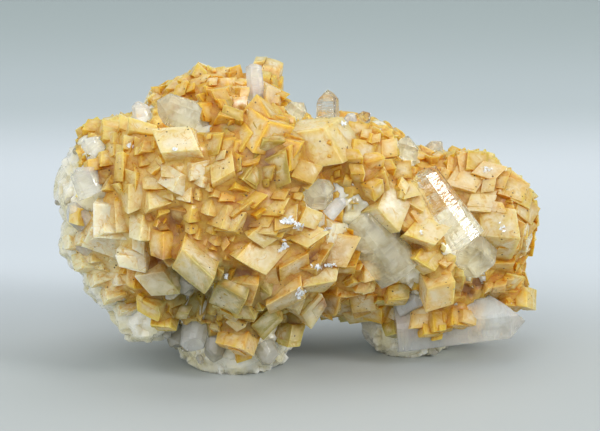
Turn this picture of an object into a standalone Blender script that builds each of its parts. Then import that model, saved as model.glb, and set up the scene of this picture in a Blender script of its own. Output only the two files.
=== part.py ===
"""Dolomite on quartz: a loose lump of milky quartz with clear quartz crystals, and the crust of
saddle-edged dolomite rhombs that grew over it. Metres, +Z up; +Y points away from the side shown."""

import math
import random

import bmesh
import bpy
from mathutils import Matrix, Vector, noise

MM = 0.001

# The specimen seen from its best side, a little from above; crystals that show there are placed
# by their corners in a 600 by 431 picture of it, whose scale the specimen's length sets
SPECIMEN_LENGTH = 80.3 * MM
LENGTH_IN_PICTURE = 482.0
PIXEL = SPECIMEN_LENGTH / LENGTH_IN_PICTURE
GROUND_POINT = (298.0, 366.0)
PICTURE_MIDDLE = (300.0, 215.5)
LOOKING_DOWN = math.radians(12.0)
VIEW_DISTANCE = 450.0 * MM
RIGHT = Vector((1.0, 0.0, 0.0))
AWAY = Vector((0.0, math.cos(LOOKING_DOWN), -math.sin(LOOKING_DOWN)))
UPWARD = Vector((0.0, math.sin(LOOKING_DOWN), math.cos(LOOKING_DOWN)))

# The step that brings the middle of the finished specimen over the origin
CENTRING = Vector((-0.65, -2.05, 0.0)) * MM

# Quartz: the lumpiness of the mass, and the sizes of the small crystals that fill its bare places.
# A crystal's foot is sunk by FOOT_SUNK times its radius, and its point is off its axis by
# POINT_SKEW times its radius.
LUMP_DEPTH = 0.9 * MM
LUMP_SIZE = 7.0 * MM
SWELLING_FINENESS = 2
FILL_RADII = (1.4 * MM, 2.9 * MM)
FILL_LENGTHS = (1.8 * MM, 4.2 * MM)
FILL_TAPER = 0.85
FILL_POINT = 0.7
QUARTZ_LEAN = 0.3
FOOT_SUNK = 1.2
POINT_SKEW = 0.3
FLOOR_BLOCK = Vector((200.0, 200.0, 50.0)) * MM

# Dolomite: the blunt angle of a face is 102.8 degrees. A crystal that shows is as thick as
# SEEN_THICKNESS times its edge, up to THICKEST, and roots at least ROOTED in the crust.
FACE_ANGLE_COSINE = -0.2215
SEEN_THICKNESS = 0.62
THICKEST = 4.6 * MM
ROOTED = 0.5 * MM
STEEPEST = 1.5
CRUST_DEPTH = 1.1 * MM
GAP = 0.3 * MM
RHOMB_SIZES = (4.6 * MM, 8.6 * MM)
RHOMB_LIFTS = (0.2 * MM, 1.0 * MM)
RHOMB_LEAN = 0.45
RHOMB_SPACING = 0.86
RHOMB_TRIES = 4
RHOMB_SHRINK = 0.8
SEAM_MARGIN = 0.5 * MM
BARE_MARGIN = 1.0 * MM

# The quartz lump: centre and half-sizes of each swelling, how many small quartz crystals and how
# many dolomite crystals may stand on it; the crust covers the swellings that carry dolomite
LOBES = [
    (Vector((-12.6, 2.0, 26.6)) * MM, Vector((20.8, 17.5, 20.6)) * MM, 56, 140),
    (Vector((22.0, 8.5, 20.4)) * MM, Vector((14.8, 13.0, 14.4)) * MM, 24, 80),
    (Vector((7.8, 5.0, 27.2)) * MM, Vector((13.0, 13.0, 14.2)) * MM, 16, 60),
    (Vector((-32.2, 2.0, 29.4)) * MM, Vector((7.0, 10.0, 9.5)) * MM, 34, 20),
    (Vector((-10.5, 1.5, 6.0)) * MM, Vector((10.0, 9.0, 9.4)) * MM, 28, 0),
    (Vector((19.0, 11.0, 5.4)) * MM, Vector((7.5, 7.5, 7.6)) * MM, 20, 0),
    (Vector((-11.0, 18.0, 8.0)) * MM, Vector((7.5, 7.0, 10.4)) * MM, 18, 0),
]

# Where the quartz is bare: centre and half-sizes of the zones that the crust leaves open
BARE_ZONES = [
    (Vector((-41.0, 1.0, 30.0)) * MM, Vector((6.0, 14.0, 11.0)) * MM),
    (Vector((-33.0, 1.0, 11.0)) * MM, Vector((10.0, 17.0, 9.0)) * MM),
    (Vector((-21.0, 6.0, -1.0)) * MM, Vector((12.0, 25.0, 10.0)) * MM),
    (Vector((-4.0, 12.0, -1.0)) * MM, Vector((9.0, 20.0, 7.0)) * MM),
    (Vector((20.0, 12.0, -1.0)) * MM, Vector((16.0, 18.0, 8.0)) * MM),
    (Vector((-4.0, 24.0, 23.0)) * MM, Vector((12.0, 8.0, 9.0)) * MM),
    (Vector((-17.5, -15.5, 14.5)) * MM, Vector((5.5, 6.0, 4.6)) * MM),
]

# The outline seen from the same side. No filling crystal crosses it by more than the share of its
# distance from the middle that OUTLINE_EASE gives.
OUTLINE = [
    (57, 205), (75, 178), (77, 150), (88, 115), (110, 115), (130, 95), (148, 95), (163, 82),
    (190, 72), (195, 65), (230, 68), (240, 75), (247, 60), (262, 57), (278, 62), (283, 92),
    (305, 103), (315, 108), (318, 98), (328, 87), (338, 92), (340, 110), (375, 112), (373, 125),
    (385, 133), (412, 130), (440, 133), (447, 145), (475, 148), (490, 152), (500, 165),
    (520, 175), (530, 185), (538, 200), (535, 235), (523, 262), (522, 275), (537, 292),
    (527, 318), (500, 340), (455, 347), (410, 357), (380, 345), (383, 330), (375, 320),
    (345, 315), (330, 322), (310, 305), (295, 310), (280, 345), (285, 355), (278, 370),
    (250, 370), (215, 365), (195, 362), (175, 345), (150, 320), (120, 290), (90, 245), (60, 215),
]
OUTLINE_EASE = 0.015

# Clear quartz crystals, as seen: foot, tip, foot radius and tip radius in pixels, then how far
# the foot stands out and how far the tip comes forward in millimetres, the turn, and the height
# of the point as a share of the tip's radius
QUARTZ_SEEN = [
    ((467, 256), (423, 167), 26, 16, 2.6, 0.8, 30, 0.35),
    ((398, 334), (524, 311), 24, 19, 3.0, -1.0, 20, 0.5),
    ((384, 250), (376, 234), 34, 32, 1.0, 6.5, 10, 0.5),
    ((190, 132), (168, 104), 22, 18, 0.5, 3.0, 0, 0.6),
    ((328, 134), (328, 88), 13.5, 12, -1.0, 0.0, 12, 1.1),
    ((143, 124), (139, 94), 11, 9, -1.0, 0.0, 0, 0.8),
    ((264, 100), (263, 60), 17, 15, -2.5, 0.0, 8, 0.5),
    ((280, 112), (307, 102), 12, 10, -1.0, 0.5, 15, 0.6),
    ((350, 128), (374, 112), 9, 7, -1.0, 0.5, 0, 0.9),
    ((386, 150), (389, 134), 8, 7, -1.0, 0.5, 0, 0.8),
    ((407, 156), (411, 132), 14, 12, -1.0, 0.5, 20, 0.6),
    ((428, 156), (445, 135), 11, 8, -1.0, 0.5, 0, 0.9),
    ((482, 172), (484, 151), 17, 14, -1.0, 1.0, 25, 0.5),
    ((318, 198), (322, 182), 17, 13, 0.5, 3.5, 0, 0.6),
    ((328, 216), (346, 196), 8, 7, 3.2, 0.5, 0, 0.8),
    ((398, 308), (424, 297), 12, 9, 2.4, 1.0, 0, 0.6),
    ((92, 190), (80, 162), 17, 14, 0.0, 0.5, 0, 0.5),
    ((98, 152), (84, 136), 12, 10, 0.0, 1.0, 10, 0.6),
    ((84, 214), (59, 206), 13, 10, 0.0, 0.5, 0, 0.7),
    ((92, 240), (70, 230), 13, 11, 0.0, 0.5, 30, 0.6),
    ((106, 266), (88, 260), 13, 11, 0.0, 0.8, 0, 0.6),
    ((122, 288), (106, 286), 13, 11, 0.0, 1.0, 15, 0.6),
    ((142, 308), (128, 308), 12, 9, 0.0, 1.0, 0, 0.7),
    ((198, 328), (188, 361), 14, 12, 0.0, 2.0, 0, 0.7),
    ((216, 340), (212, 364), 12, 10, 0.0, 1.0, 20, 0.8),
    ((182, 332), (170, 350), 12, 10, 0.0, 1.5, 0, 0.8),
    ((262, 345), (274, 366), 14, 11, 0.0, 1.0, 0, 0.7),
]

# Dolomite faces that show, as seen: the blunt corner where three faces meet, the two corners next
# to it, whether the face tilts up (1) or down (-1), and how far it stands out in millimetres
FACES_SEEN = [
    ((107, 132), (84, 129), (110, 119), 1, 2.0),
    ((136, 130), (148, 120), (111, 120), 1, 2.2),
    ((104, 128), (97, 146), (126, 131), -1, 2.0),
    ((128, 129), (122, 146), (158, 136), -1, 2.2),
    ((171, 97), (156, 104), (164, 86), 1, 1.5),
    ((189, 90), (198, 76), (167, 88), 1, 1.6),
    ((195, 76), (209, 84), (198, 62), 1, 1.0),
    ((244, 78), (233, 82), (240, 64), 1, 1.0),
    ((230, 78), (212, 80), (232, 66), 1, 1.0),
    ((227, 77), (209, 80), (230, 95), 1, 2.2),
    ((192, 86), (208, 82), (190, 101), 1, 1.8),
    ((214, 101), (200, 104), (221, 119), 1, 2.4),
    ((233, 95), (247, 94), (232, 110), 1, 2.4),
    ((221, 106), (246, 112), (219, 115), 1, 2.2),
    ((222, 115), (243, 121), (216, 129), -1, 1.2),
    ((253, 133), (241, 120), (240, 152), 1, 3.4),
    ((202, 136), (222, 134), (199, 158), 1, 2.6),
    ((208, 164), (231, 151), (212, 183), 1, 3.2),
    ((191, 163), (208, 161), (190, 181), 1, 3.0),
    ((235, 141), (248, 140), (233, 156), 1, 2.6),
    ((243, 152), (262, 150), (241, 165), 1, 2.0),
    ((325, 129), (265, 136), (345, 163), -1, 3.0),
    ((305, 148), (330, 143), (311, 170), -1, 3.0),
    ((254, 164), (269, 176), (243, 180), 1, 2.2),
    ((270, 174), (284, 173), (268, 191), -1, 1.8),
    ((249, 189), (236, 202), (267, 195), 1, 3.0),
    ((267, 196), (289, 198), (259, 214), 1, 3.2),
    ((286, 174), (304, 178), (281, 190), 1, 2.8),
    ((291, 199), (304, 203), (286, 214), 1, 3.0),
    ((302, 219), (283, 236), (327, 232), 1, 3.8),
    ((333, 222), (350, 225), (327, 243), 1, 2.2),
    ((137, 160), (124, 153), (136, 190), -1, 2.6),
    ((163, 170), (141, 171), (164, 188), 1, 2.8),
    ((147, 189), (170, 184), (150, 209), 1, 3.2),
    ((139, 196), (150, 187), (147, 207), 1, 2.8),
    ((192, 186), (176, 183), (190, 202), 1, 2.8),
    ((122, 198), (143, 204), (110, 228), -1, 3.2),
    ((143, 214), (165, 215), (140, 240), 1, 3.4),
    ((168, 209), (186, 212), (166, 225), -1, 1.6),
    ((163, 230), (184, 228), (164, 258), 1, 3.0),
    ((146, 254), (115, 248), (158, 243), 1, 3.2),
    ((224, 257), (190, 225), (213, 278), 1, 4.0),
    ((212, 197), (227, 202), (208, 214), 1, 3.0),
    ((200, 187), (210, 188), (198, 201), 1, 2.6),
    ((222, 187), (237, 189), (220, 200), 1, 3.0),
    ((215, 219), (227, 221), (212, 234), 1, 3.0),
    ((192, 204), (207, 203), (190, 222), 1, 2.4),
    ((226, 229), (238, 229), (221, 242), 1, 3.2),
    ((228, 246), (240, 248), (226, 260), 1, 2.6),
    ((258, 231), (238, 258), (287, 250), 1, 4.2),
    ((264, 275), (267, 304), (300, 256), 1, 3.4),
    ((245, 301), (258, 286), (254, 322), 1, 2.8),
    ((232, 267), (249, 270), (229, 281), -1, 1.8),
    ((221, 296), (234, 301), (213, 305), 1, 3.0),
    ((301, 317), (282, 305), (320, 295), 1, 3.6),
    ((301, 318), (277, 308), (300, 338), -1, 2.0),
    ((318, 269), (334, 268), (315, 287), 1, 3.0),
    ((316, 290), (339, 297), (313, 312), -1, 2.0),
    ((338, 270), (362, 268), (337, 298), 1, 3.2),
    ((364, 258), (386, 254), (364, 282), 1, 2.8),
    ((336, 252), (360, 250), (333, 268), 1, 2.8),
    ((358, 298), (383, 292), (343, 313), 1, 3.4),
    ((341, 313), (364, 312), (341, 323), -1, 3.0),
    ((251, 323), (221, 316), (244, 349), 1, 4.0),
    ((236, 350), (252, 347), (236, 364), -1, 3.0),
    ((292, 323), (275, 319), (288, 346), 1, 2.6),
    ((161, 308), (137, 297), (173, 296), 1, 3.4),
    ((172, 310), (152, 309), (170, 326), 1, 3.4),
    ((137, 270), (151, 272), (134, 288), 1, 2.2),
    ((84, 226), (105, 229), (81, 243), 1, 2.6),
    ((80, 207), (92, 210), (78, 224), 1, 2.4),
    ((92, 248), (106, 247), (93, 262), 1, 2.2),
    ((88, 158), (102, 157), (90, 170), 1, 2.0),
    ((100, 170), (114, 168), (101, 184), 1, 2.2),
    ((101, 150), (118, 149), (102, 166), 1, 2.2),
    ((140, 150), (158, 148), (141, 166), 1, 2.0),
    ((367, 141), (346, 136), (370, 123), 1, 1.6),
    ((332, 132), (352, 136), (333, 158), 1, 2.4),
    ((354, 138), (376, 142), (352, 160), 1, 2.0),
    ((338, 160), (362, 158), (338, 176), -1, 2.0),
    ((364, 162), (384, 158), (362, 180), -1, 1.8),
    ((377, 140), (396, 138), (378, 158), 1, 1.8),
    ((392, 160), (412, 160), (394, 178), 1, 2.0),
    ((377, 208), (390, 180), (400, 231), 1, 3.8),
    ((426, 241), (415, 258), (447, 256), 1, 3.2),
    ((458, 163), (488, 172), (446, 184), 1, 2.8),
    ((472, 189), (497, 192), (466, 210), 1, 2.8),
    ((465, 173), (447, 170), (466, 156), 1, 2.2),
    ((510, 194), (490, 191), (511, 178), 1, 2.4),
    ((508, 199), (530, 208), (513, 181), 1, 2.2),
    ((517, 222), (519, 202), (536, 224), 1, 1.8),
    ((510, 244), (512, 224), (533, 246), 1, 1.8),
    ((478, 210), (505, 212), (476, 226), -1, 2.0),
    ((507, 201), (519, 207), (505, 213), 1, 2.4),
    ((495, 249), (517, 250), (493, 263), 1, 2.4),
    ((512, 259), (527, 263), (510, 268), 1, 1.6),
    ((490, 271), (520, 272), (489, 290), 1, 2.4),
    ((505, 287), (526, 289), (506, 304), 1, 2.6),
    ((526, 285), (538, 290), (526, 306), 1, 1.6),
    ((440, 278), (464, 276), (440, 294), -1, 2.0),
    ((412, 312), (440, 308), (410, 330), 1, 2.6),
    ((441, 309), (466, 308), (440, 328), 1, 2.4),
    ((463, 310), (476, 312), (463, 321), 1, 2.8),
    ((392, 314), (412, 316), (394, 332), 1, 2.2),
    ((388, 284), (410, 282), (388, 300), 1, 2.0),
    ((420, 165), (433, 150), (407, 158), 1, 1.6),
]


def in_picture(x, y):
    """The point under a picture position, on the upright plane through the specimen's origin."""
    across = (x - GROUND_POINT[0]) * PIXEL
    up = (GROUND_POINT[1] - y) * PIXEL
    return RIGHT * across + UPWARD * up


EYE = in_picture(*PICTURE_MIDDLE) - AWAY * VIEW_DISTANCE


def at_depth(x, y, depth):
    """The point under a picture position at a distance behind the plane through the origin."""
    ray = in_picture(x, y) - EYE
    return EYE + ray * ((VIEW_DISTANCE + depth) / VIEW_DISTANCE)


def lump_surface(x, y):
    """Depth where the line of sight meets the quartz lump, or passes nearest to it."""
    ray = in_picture(x, y) - EYE
    best_hit = None
    nearest = None
    for centre, half, _, _ in LOBES:
        start = Vector([(EYE[i] - centre[i]) / half[i] for i in range(3)])
        step = Vector([ray[i] / half[i] for i in range(3)])
        middle = -start.dot(step) / step.dot(step)
        miss = (start + step * middle).length
        if miss < 1.0:
            hit = middle - math.sqrt((1.0 - miss * miss) / step.dot(step))
            if best_hit is None or hit < best_hit:
                best_hit = hit
        if nearest is None or miss < nearest[0]:
            nearest = (miss, middle)
    if best_hit is None:
        best_hit = nearest[1]
    return (best_hit - 1.0) * VIEW_DISTANCE


def inside(point, zones, grow=0.0):
    """Whether a point lies in any of the ellipsoids in a list."""
    for zone in zones:
        centre, half = zone[:2]
        reach = Vector([(point[i] - centre[i]) / (half[i] + grow) for i in range(3)])
        if reach.length < 1.0:
            return True
    return False


def link(name, shape, collection):
    """A new object made from a finished bmesh."""
    mesh = bpy.data.meshes.new(name)
    shape.to_mesh(mesh)
    shape.free()
    body = bpy.data.objects.new(name, mesh)
    collection.objects.link(body)
    return body


def swelling(centre, half, grow=0.0):
    """One rounded, lumpy swelling of the quartz."""
    shape = bmesh.new()
    bmesh.ops.create_icosphere(shape, subdivisions=SWELLING_FINENESS, radius=1.0)
    for corner in shape.verts:
        outward = corner.co.normalized()
        place = centre + Vector([outward[i] * half[i] for i in range(3)])
        lump = noise.noise(place / LUMP_SIZE) * LUMP_DEPTH
        corner.co = place + outward * (lump + grow)
    return shape


def prism(foot, tip, foot_radius, tip_radius, turn, point, grow=0.0):
    """A six-sided quartz crystal with a six-sided point, its foot sunk in the lump."""
    shape = bmesh.new()
    along = (tip - foot).normalized()
    point_height = tip_radius * point
    length = (tip - foot).length - point_height + grow
    bmesh.ops.create_cone(
        shape,
        cap_ends=True,
        segments=6,
        radius1=foot_radius + grow,
        radius2=tip_radius + grow,
        depth=length,
    )
    end = max(shape.faces, key=lambda face: face.calc_center_median().z)
    poked = bmesh.ops.poke(shape, faces=[end])
    for corner in poked["verts"]:
        corner.co.z += point_height
        corner.co.x += tip_radius * POINT_SKEW
    lift = Matrix.Translation(Vector((0.0, 0.0, length / 2.0)))
    swing = Vector((0.0, 0.0, 1.0)).rotation_difference(along).to_matrix().to_4x4()
    spin = Matrix.Rotation(math.radians(turn), 4, "Z")
    bmesh.ops.transform(
        shape,
        matrix=Matrix.Translation(foot) @ swing @ spin @ lift,
        verts=shape.verts,
    )
    return shape


def rhomb(corner, edge_a, edge_b, edge_c):
    """A dolomite crystal: a cube sheared to three equal slanting edges from one corner."""
    shape = bmesh.new()
    bmesh.ops.create_cube(shape, size=1.0)
    slant = Matrix((edge_a, edge_b, edge_c)).transposed().to_4x4()
    if slant.determinant() < 0.0:
        slant = Matrix((edge_b, edge_a, edge_c)).transposed().to_4x4()
    middle = corner + (edge_a + edge_b + edge_c) / 2.0
    bmesh.ops.transform(shape, matrix=Matrix.Translation(middle) @ slant, verts=shape.verts)
    return shape


def third_edge(edge_a, edge_b, inward):
    """The edge that meets two others at the blunt corner, at the same angle to both."""
    length = (edge_a.length + edge_b.length) / 2.0
    share = FACE_ANGLE_COSINE / (1.0 + FACE_ANGLE_COSINE)
    flat = (edge_a + edge_b) * share
    across = edge_a.cross(edge_b).normalized()
    if across.dot(inward) < 0.0:
        across = -across
    height = math.sqrt(max(length * length - flat.length_squared, 0.0))
    return flat + across * height


def rhomb_seen(apex, first, second, tilt, stand_out):
    """The corner and edges of a crystal whose face shows with the corners given."""
    middle_x = (first[0] + second[0]) / 2.0
    middle_y = (first[1] + second[1]) / 2.0
    depth = lump_surface(middle_x, middle_y) - stand_out * MM
    corner = at_depth(apex[0], apex[1], depth)
    flat_a = at_depth(first[0], first[1], depth) - corner
    flat_b = at_depth(second[0], second[1], depth) - corner
    size_a = flat_a.length_squared
    size_b = flat_b.length_squared
    shared = flat_a.dot(flat_b)
    cosine = FACE_ANGLE_COSINE
    # Equal edges at a fixed angle: a quadratic in the square of the edge
    square = 1.0 - cosine * cosine
    linear = 2.0 * shared * cosine - size_a - size_b
    constant = size_a * size_b - shared * shared
    edge_squared = (-linear + math.sqrt(max(linear * linear - 4.0 * square * constant, 0.0)))
    edge_squared /= 2.0 * square
    edge_squared = min(edge_squared, STEEPEST * max(size_a, size_b))
    back_a = math.sqrt(max(edge_squared - size_a, 1e-14))
    back_b = (edge_squared * cosine - shared) / back_a
    choices = []
    for sign in (1.0, -1.0):
        edge_a = flat_a + AWAY * back_a * sign
        edge_b = flat_b + AWAY * back_b * sign
        facing = edge_a.cross(edge_b).normalized()
        if facing.dot(AWAY) > 0.0:
            facing = -facing
        choices.append((facing.z * tilt, sign, edge_a, edge_b))
    best = max(choices)
    edge_a = best[2]
    edge_b = best[3]
    # The face's middle, not its corner, keeps the chosen depth
    corner -= AWAY * (edge_a + edge_b).dot(AWAY) / 2.0
    # The body is cut short, and stands no further out than lets it root in the crust
    edge_c = third_edge(edge_a, edge_b, AWAY)
    edge_c *= min(SEEN_THICKNESS, THICKEST / edge_c.length)
    loose = stand_out * MM - edge_c.dot(AWAY) - ROOTED
    if loose > 0.0:
        corner += AWAY * loose
    return corner, edge_a, edge_b, edge_c


def in_outline(point):
    """Whether a point, seen from the chosen side, falls inside the outline."""
    ray = point - EYE
    ray *= VIEW_DISTANCE / ray.dot(AWAY)
    seen = EYE + ray
    x = GROUND_POINT[0] + seen.dot(RIGHT) / PIXEL
    y = GROUND_POINT[1] - seen.dot(UPWARD) / PIXEL
    x -= (x - PICTURE_MIDDLE[0]) * OUTLINE_EASE
    y -= (y - PICTURE_MIDDLE[1]) * OUTLINE_EASE
    within = False
    for (x1, y1), (x2, y2) in zip(OUTLINE, OUTLINE[1:] + OUTLINE[:1]):
        if (y1 > y) != (y2 > y) and x < x1 + (y - y1) * (x2 - x1) / (y2 - y1):
            within = not within
    return within


def rhomb_standing(place, outward, size, draw):
    """The corner and edges of a crystal that stands on the lump with a face or edge outward."""
    lean = Vector([draw.gauss(0.0, RHOMB_LEAN) for _ in range(3)])
    facing = (outward + lean).normalized()
    spin = Vector([draw.uniform(-1.0, 1.0) for _ in range(3)])
    edge_a = facing.cross(spin).normalized() * size
    side = facing.cross(edge_a)
    sine = math.sqrt(1.0 - FACE_ANGLE_COSINE ** 2)
    edge_b = edge_a * FACE_ANGLE_COSINE + side * sine
    edge_c = third_edge(edge_a, edge_b, -facing)
    middle = (edge_a + edge_b + edge_c) / 2.0
    return place - middle, edge_a, edge_b, edge_c


def evenly_over(lobe, count):
    """Evenly spread directions over one swelling, as places and outward directions."""
    centre, half = lobe[:2]
    golden = math.pi * (3.0 - math.sqrt(5.0))
    spots = []
    for step in range(count):
        height = 1.0 - 2.0 * (step + 0.5) / count
        ring = math.sqrt(1.0 - height * height)
        way = Vector((ring * math.cos(golden * step), ring * math.sin(golden * step), height))
        place = centre + Vector([way[i] * half[i] for i in range(3)])
        outward = Vector([way[i] / half[i] for i in range(3)]).normalized()
        spots.append((place, outward))
    return spots


def covered(place, size, middles):
    """Whether a crystal already stands too near a place."""
    for other, other_size in middles:
        if (place - other).length < (size + other_size) / 2.0 * RHOMB_SPACING:
            return True
    return False


def rhomb_corners(corner, edge_a, edge_b, edge_c):
    """The eight corners of a crystal."""
    return [
        corner + edge_a * i + edge_b * j + edge_c * k
        for i in (0, 1) for j in (0, 1) for k in (0, 1)
    ]


def shrunk_into_outline(spot, crystal):
    """The crystal, made smaller about its middle until it falls inside the outline, or None."""
    for _ in range(RHOMB_TRIES):
        if all(in_outline(point) for point in rhomb_corners(*crystal)):
            return crystal
        corner = spot + (crystal[0] - spot) * RHOMB_SHRINK
        crystal = (corner, *[edge * RHOMB_SHRINK for edge in crystal[1:]])
    return None


def all_rhombs():
    """Every dolomite crystal: the ones that show, then more over the rest of the lump."""
    crystals = []
    middles = []
    for row in FACES_SEEN:
        crystal = rhomb_seen(*row)
        crystals.append(crystal)
        corner, edge_a, edge_b, _ = crystal
        middles.append((corner + (edge_a + edge_b) / 2.0, edge_a.length))
    for foot, tip, foot_radius, _, _, _ in quartz_seen():
        for share in (0.2, 0.5, 0.8):
            middles.append((foot.lerp(tip, share), foot_radius * 2.0))
    draw = random.Random(7)
    for number, lobe in enumerate(LOBES):
        others = LOBES[:number] + LOBES[number + 1:]
        for place, outward in evenly_over(lobe, lobe[3]):
            size = draw.uniform(*RHOMB_SIZES)
            spot = place + outward * draw.uniform(*RHOMB_LIFTS)
            crystal = rhomb_standing(spot, outward, size, draw)
            if inside(place, others, SEAM_MARGIN) or inside(place, BARE_ZONES, BARE_MARGIN):
                continue
            if covered(spot, size, middles):
                continue
            fitted = shrunk_into_outline(spot, crystal)
            if fitted is not None:
                crystals.append(fitted)
                middles.append((spot, fitted[1].length))
    return crystals


def quartz_seen():
    """Foot, tip, radii, turn and point of the quartz crystals that show."""
    rows = []
    for foot, tip, foot_radius, tip_radius, stand_out, forward, turn, point in QUARTZ_SEEN:
        depth = lump_surface(*foot) - stand_out * MM
        start = at_depth(foot[0], foot[1], depth)
        end = at_depth(tip[0], tip[1], depth - forward * MM)
        rows.append((start, end, foot_radius * PIXEL, tip_radius * PIXEL, turn, point))
    return rows


def quartz_crystals():
    """Every quartz crystal: the ones that show, then small ones over the bare quartz."""
    rows = quartz_seen()
    draw = random.Random(3)
    for number, lobe in enumerate(LOBES):
        others = LOBES[:number] + LOBES[number + 1:]
        for place, outward in evenly_over(lobe, lobe[2]):
            lean = Vector([draw.gauss(0.0, QUARTZ_LEAN) for _ in range(3)])
            along = (outward + lean).normalized()
            radius = draw.uniform(*FILL_RADII)
            length = draw.uniform(*FILL_LENGTHS)
            turn = draw.uniform(0.0, 60.0)
            if inside(place, others) or not inside(place, BARE_ZONES, BARE_MARGIN):
                continue
            foot = place - along * radius * FOOT_SUNK
            tip = place + along * length
            side = along.cross(AWAY).normalized() * radius * FILL_TAPER
            if all(in_outline(tip + side * way) for way in (-1.0, 0.0, 1.0)):
                rows.append((foot, tip, radius, radius * FILL_TAPER, turn, FILL_POINT))
    return rows


def floor_block(collection):
    """A cutter that takes off whatever reaches below the flat resting faces."""
    shape = bmesh.new()
    bmesh.ops.create_cube(shape, size=1.0)
    below = Matrix.Translation(Vector((0.0, 0.0, -FLOOR_BLOCK.z / 2.0)))
    bmesh.ops.transform(shape, matrix=below @ Matrix.Diagonal(FLOOR_BLOCK).to_4x4(), verts=shape.verts)
    return link("floor_block", shape, collection)


def combine(body, operation, collection=None, other=None):
    """One exact Boolean, applied to the body."""
    step = body.modifiers.new(operation.lower(), "BOOLEAN")
    step.operation = operation
    step.solver = "EXACT"
    if collection is not None:
        step.operand_type = "COLLECTION"
        step.collection = collection
    else:
        step.object = other
    graph = bpy.context.evaluated_depsgraph_get()
    result = bpy.data.meshes.new_from_object(body.evaluated_get(graph))
    body.modifiers.remove(step)
    old = body.data
    body.data = result
    bpy.data.meshes.remove(old)


def keep_main_body(body):
    """Removes crumbs that a cut has left loose, and keeps the largest body."""
    shape = bmesh.new()
    shape.from_mesh(body.data)
    waiting = set(shape.faces)
    islands = []
    while waiting:
        start = waiting.pop()
        island = [start]
        queue = [start]
        while queue:
            face = queue.pop()
            for edge in face.edges:
                for near in edge.link_faces:
                    if near in waiting:
                        waiting.remove(near)
                        island.append(near)
                        queue.append(near)
        islands.append(island)
    islands.sort(key=len, reverse=True)
    for island in islands[1:]:
        bmesh.ops.delete(shape, geom=island, context="FACES")
    shape.to_mesh(body.data)
    shape.free()


def helper_group(name, parent):
    """A collection for helper shapes, kept out of the finished object."""
    group = bpy.data.collections.new(name)
    parent.children.link(group)
    return group


def hide(group):
    """Marks helper shapes as guides that are not part of the object."""
    for guide in group.objects:
        guide.hide_render = True
        guide.display_type = "WIRE"


def material(name, colour, roughness, see_through=0.0, refraction=1.5):
    """A plain Principled finish."""
    finish = bpy.data.materials.new(name)
    finish.use_nodes = True
    surface = finish.node_tree.nodes["Principled BSDF"]
    surface.inputs["Base Color"].default_value = (*colour, 1.0)
    surface.inputs["Roughness"].default_value = roughness
    surface.inputs["Metallic"].default_value = 0.0
    surface.inputs["Transmission Weight"].default_value = see_through
    surface.inputs["IOR"].default_value = refraction
    return finish


def make_quartz(specimen, cutters, floor):
    """The quartz: rounded swellings and clear crystals, grown into one lump."""
    parts = helper_group("quartz parts", cutters)
    for number, lobe in enumerate(LOBES[1:]):
        link(f"swelling_{number}", swelling(*lobe[:2]), parts)
    for number, row in enumerate(quartz_crystals()):
        link(f"prism_{number}", prism(*row), parts)
    quartz = link("quartz", swelling(*LOBES[0][:2]), specimen)
    combine(quartz, "UNION", collection=parts)
    combine(quartz, "DIFFERENCE", other=floor)
    keep_main_body(quartz)
    hide(parts)
    quartz.data.materials.append(material("clear quartz", (0.86, 0.85, 0.82), 0.12, 0.6, 1.544))
    return quartz


def make_crust(specimen, cutters, floor):
    """The dolomite: a thin layer and the crystals on it, a hair's breadth clear of the quartz."""
    crusted = [lobe for lobe in LOBES if lobe[3] > 0]
    layer = helper_group("layer parts", cutters)
    for number, lobe in enumerate(crusted[1:]):
        link(f"layer_{number}", swelling(*lobe[:2], CRUST_DEPTH), layer)
    bare = helper_group("bare zones", cutters)
    for number, zone in enumerate(BARE_ZONES):
        link(f"bare_{number}", swelling(*zone), bare)
    crystals = helper_group("dolomite crystals", cutters)
    for number, row in enumerate(all_rhombs()):
        link(f"rhomb_{number}", rhomb(*row), crystals)
    room = helper_group("room for the quartz", cutters)
    for number, lobe in enumerate(LOBES):
        link(f"grown_swelling_{number}", swelling(*lobe[:2], GAP), room)
    for number, row in enumerate(quartz_crystals()):
        link(f"grown_prism_{number}", prism(*row, grow=GAP), room)

    crust = link("dolomite_crust", swelling(*crusted[0][:2], CRUST_DEPTH), specimen)
    combine(crust, "UNION", collection=layer)
    combine(crust, "DIFFERENCE", collection=bare)
    combine(crust, "UNION", collection=crystals)
    combine(crust, "DIFFERENCE", collection=room)
    combine(crust, "DIFFERENCE", other=floor)
    keep_main_body(crust)
    for group in (layer, bare, crystals, room):
        hide(group)
    crust.data.materials.append(material("dolomite", (0.80, 0.62, 0.36), 0.45))
    return crust


def main():
    for thing in list(bpy.data.objects):
        bpy.data.objects.remove(thing, do_unlink=True)
    specimen = bpy.data.collections.new("dolomite on quartz specimen")
    bpy.context.scene.collection.children.link(specimen)
    cutters = helper_group("cutters", bpy.context.scene.collection)
    floor = floor_block(cutters)
    quartz = make_quartz(specimen, cutters, floor)
    crust = make_crust(specimen, cutters, floor)
    hide(cutters)
    # The origin is under the middle of the specimen
    for body in (quartz, crust):
        for corner in body.data.vertices:
            corner.co += CENTRING


main()
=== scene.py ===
"""How the dolomite on quartz specimen looks: milky and clear quartz, and the crust of honey and cream
dolomite rhombs on it, on a pale floor in soft light. Metres, +Z up; +Y points away from the viewer."""

import math
import random

import bmesh
import bpy
import numpy as np
from mathutils import Matrix, Vector, noise
from mathutils.bvhtree import BVHTree
from mathutils.kdtree import KDTree


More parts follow.
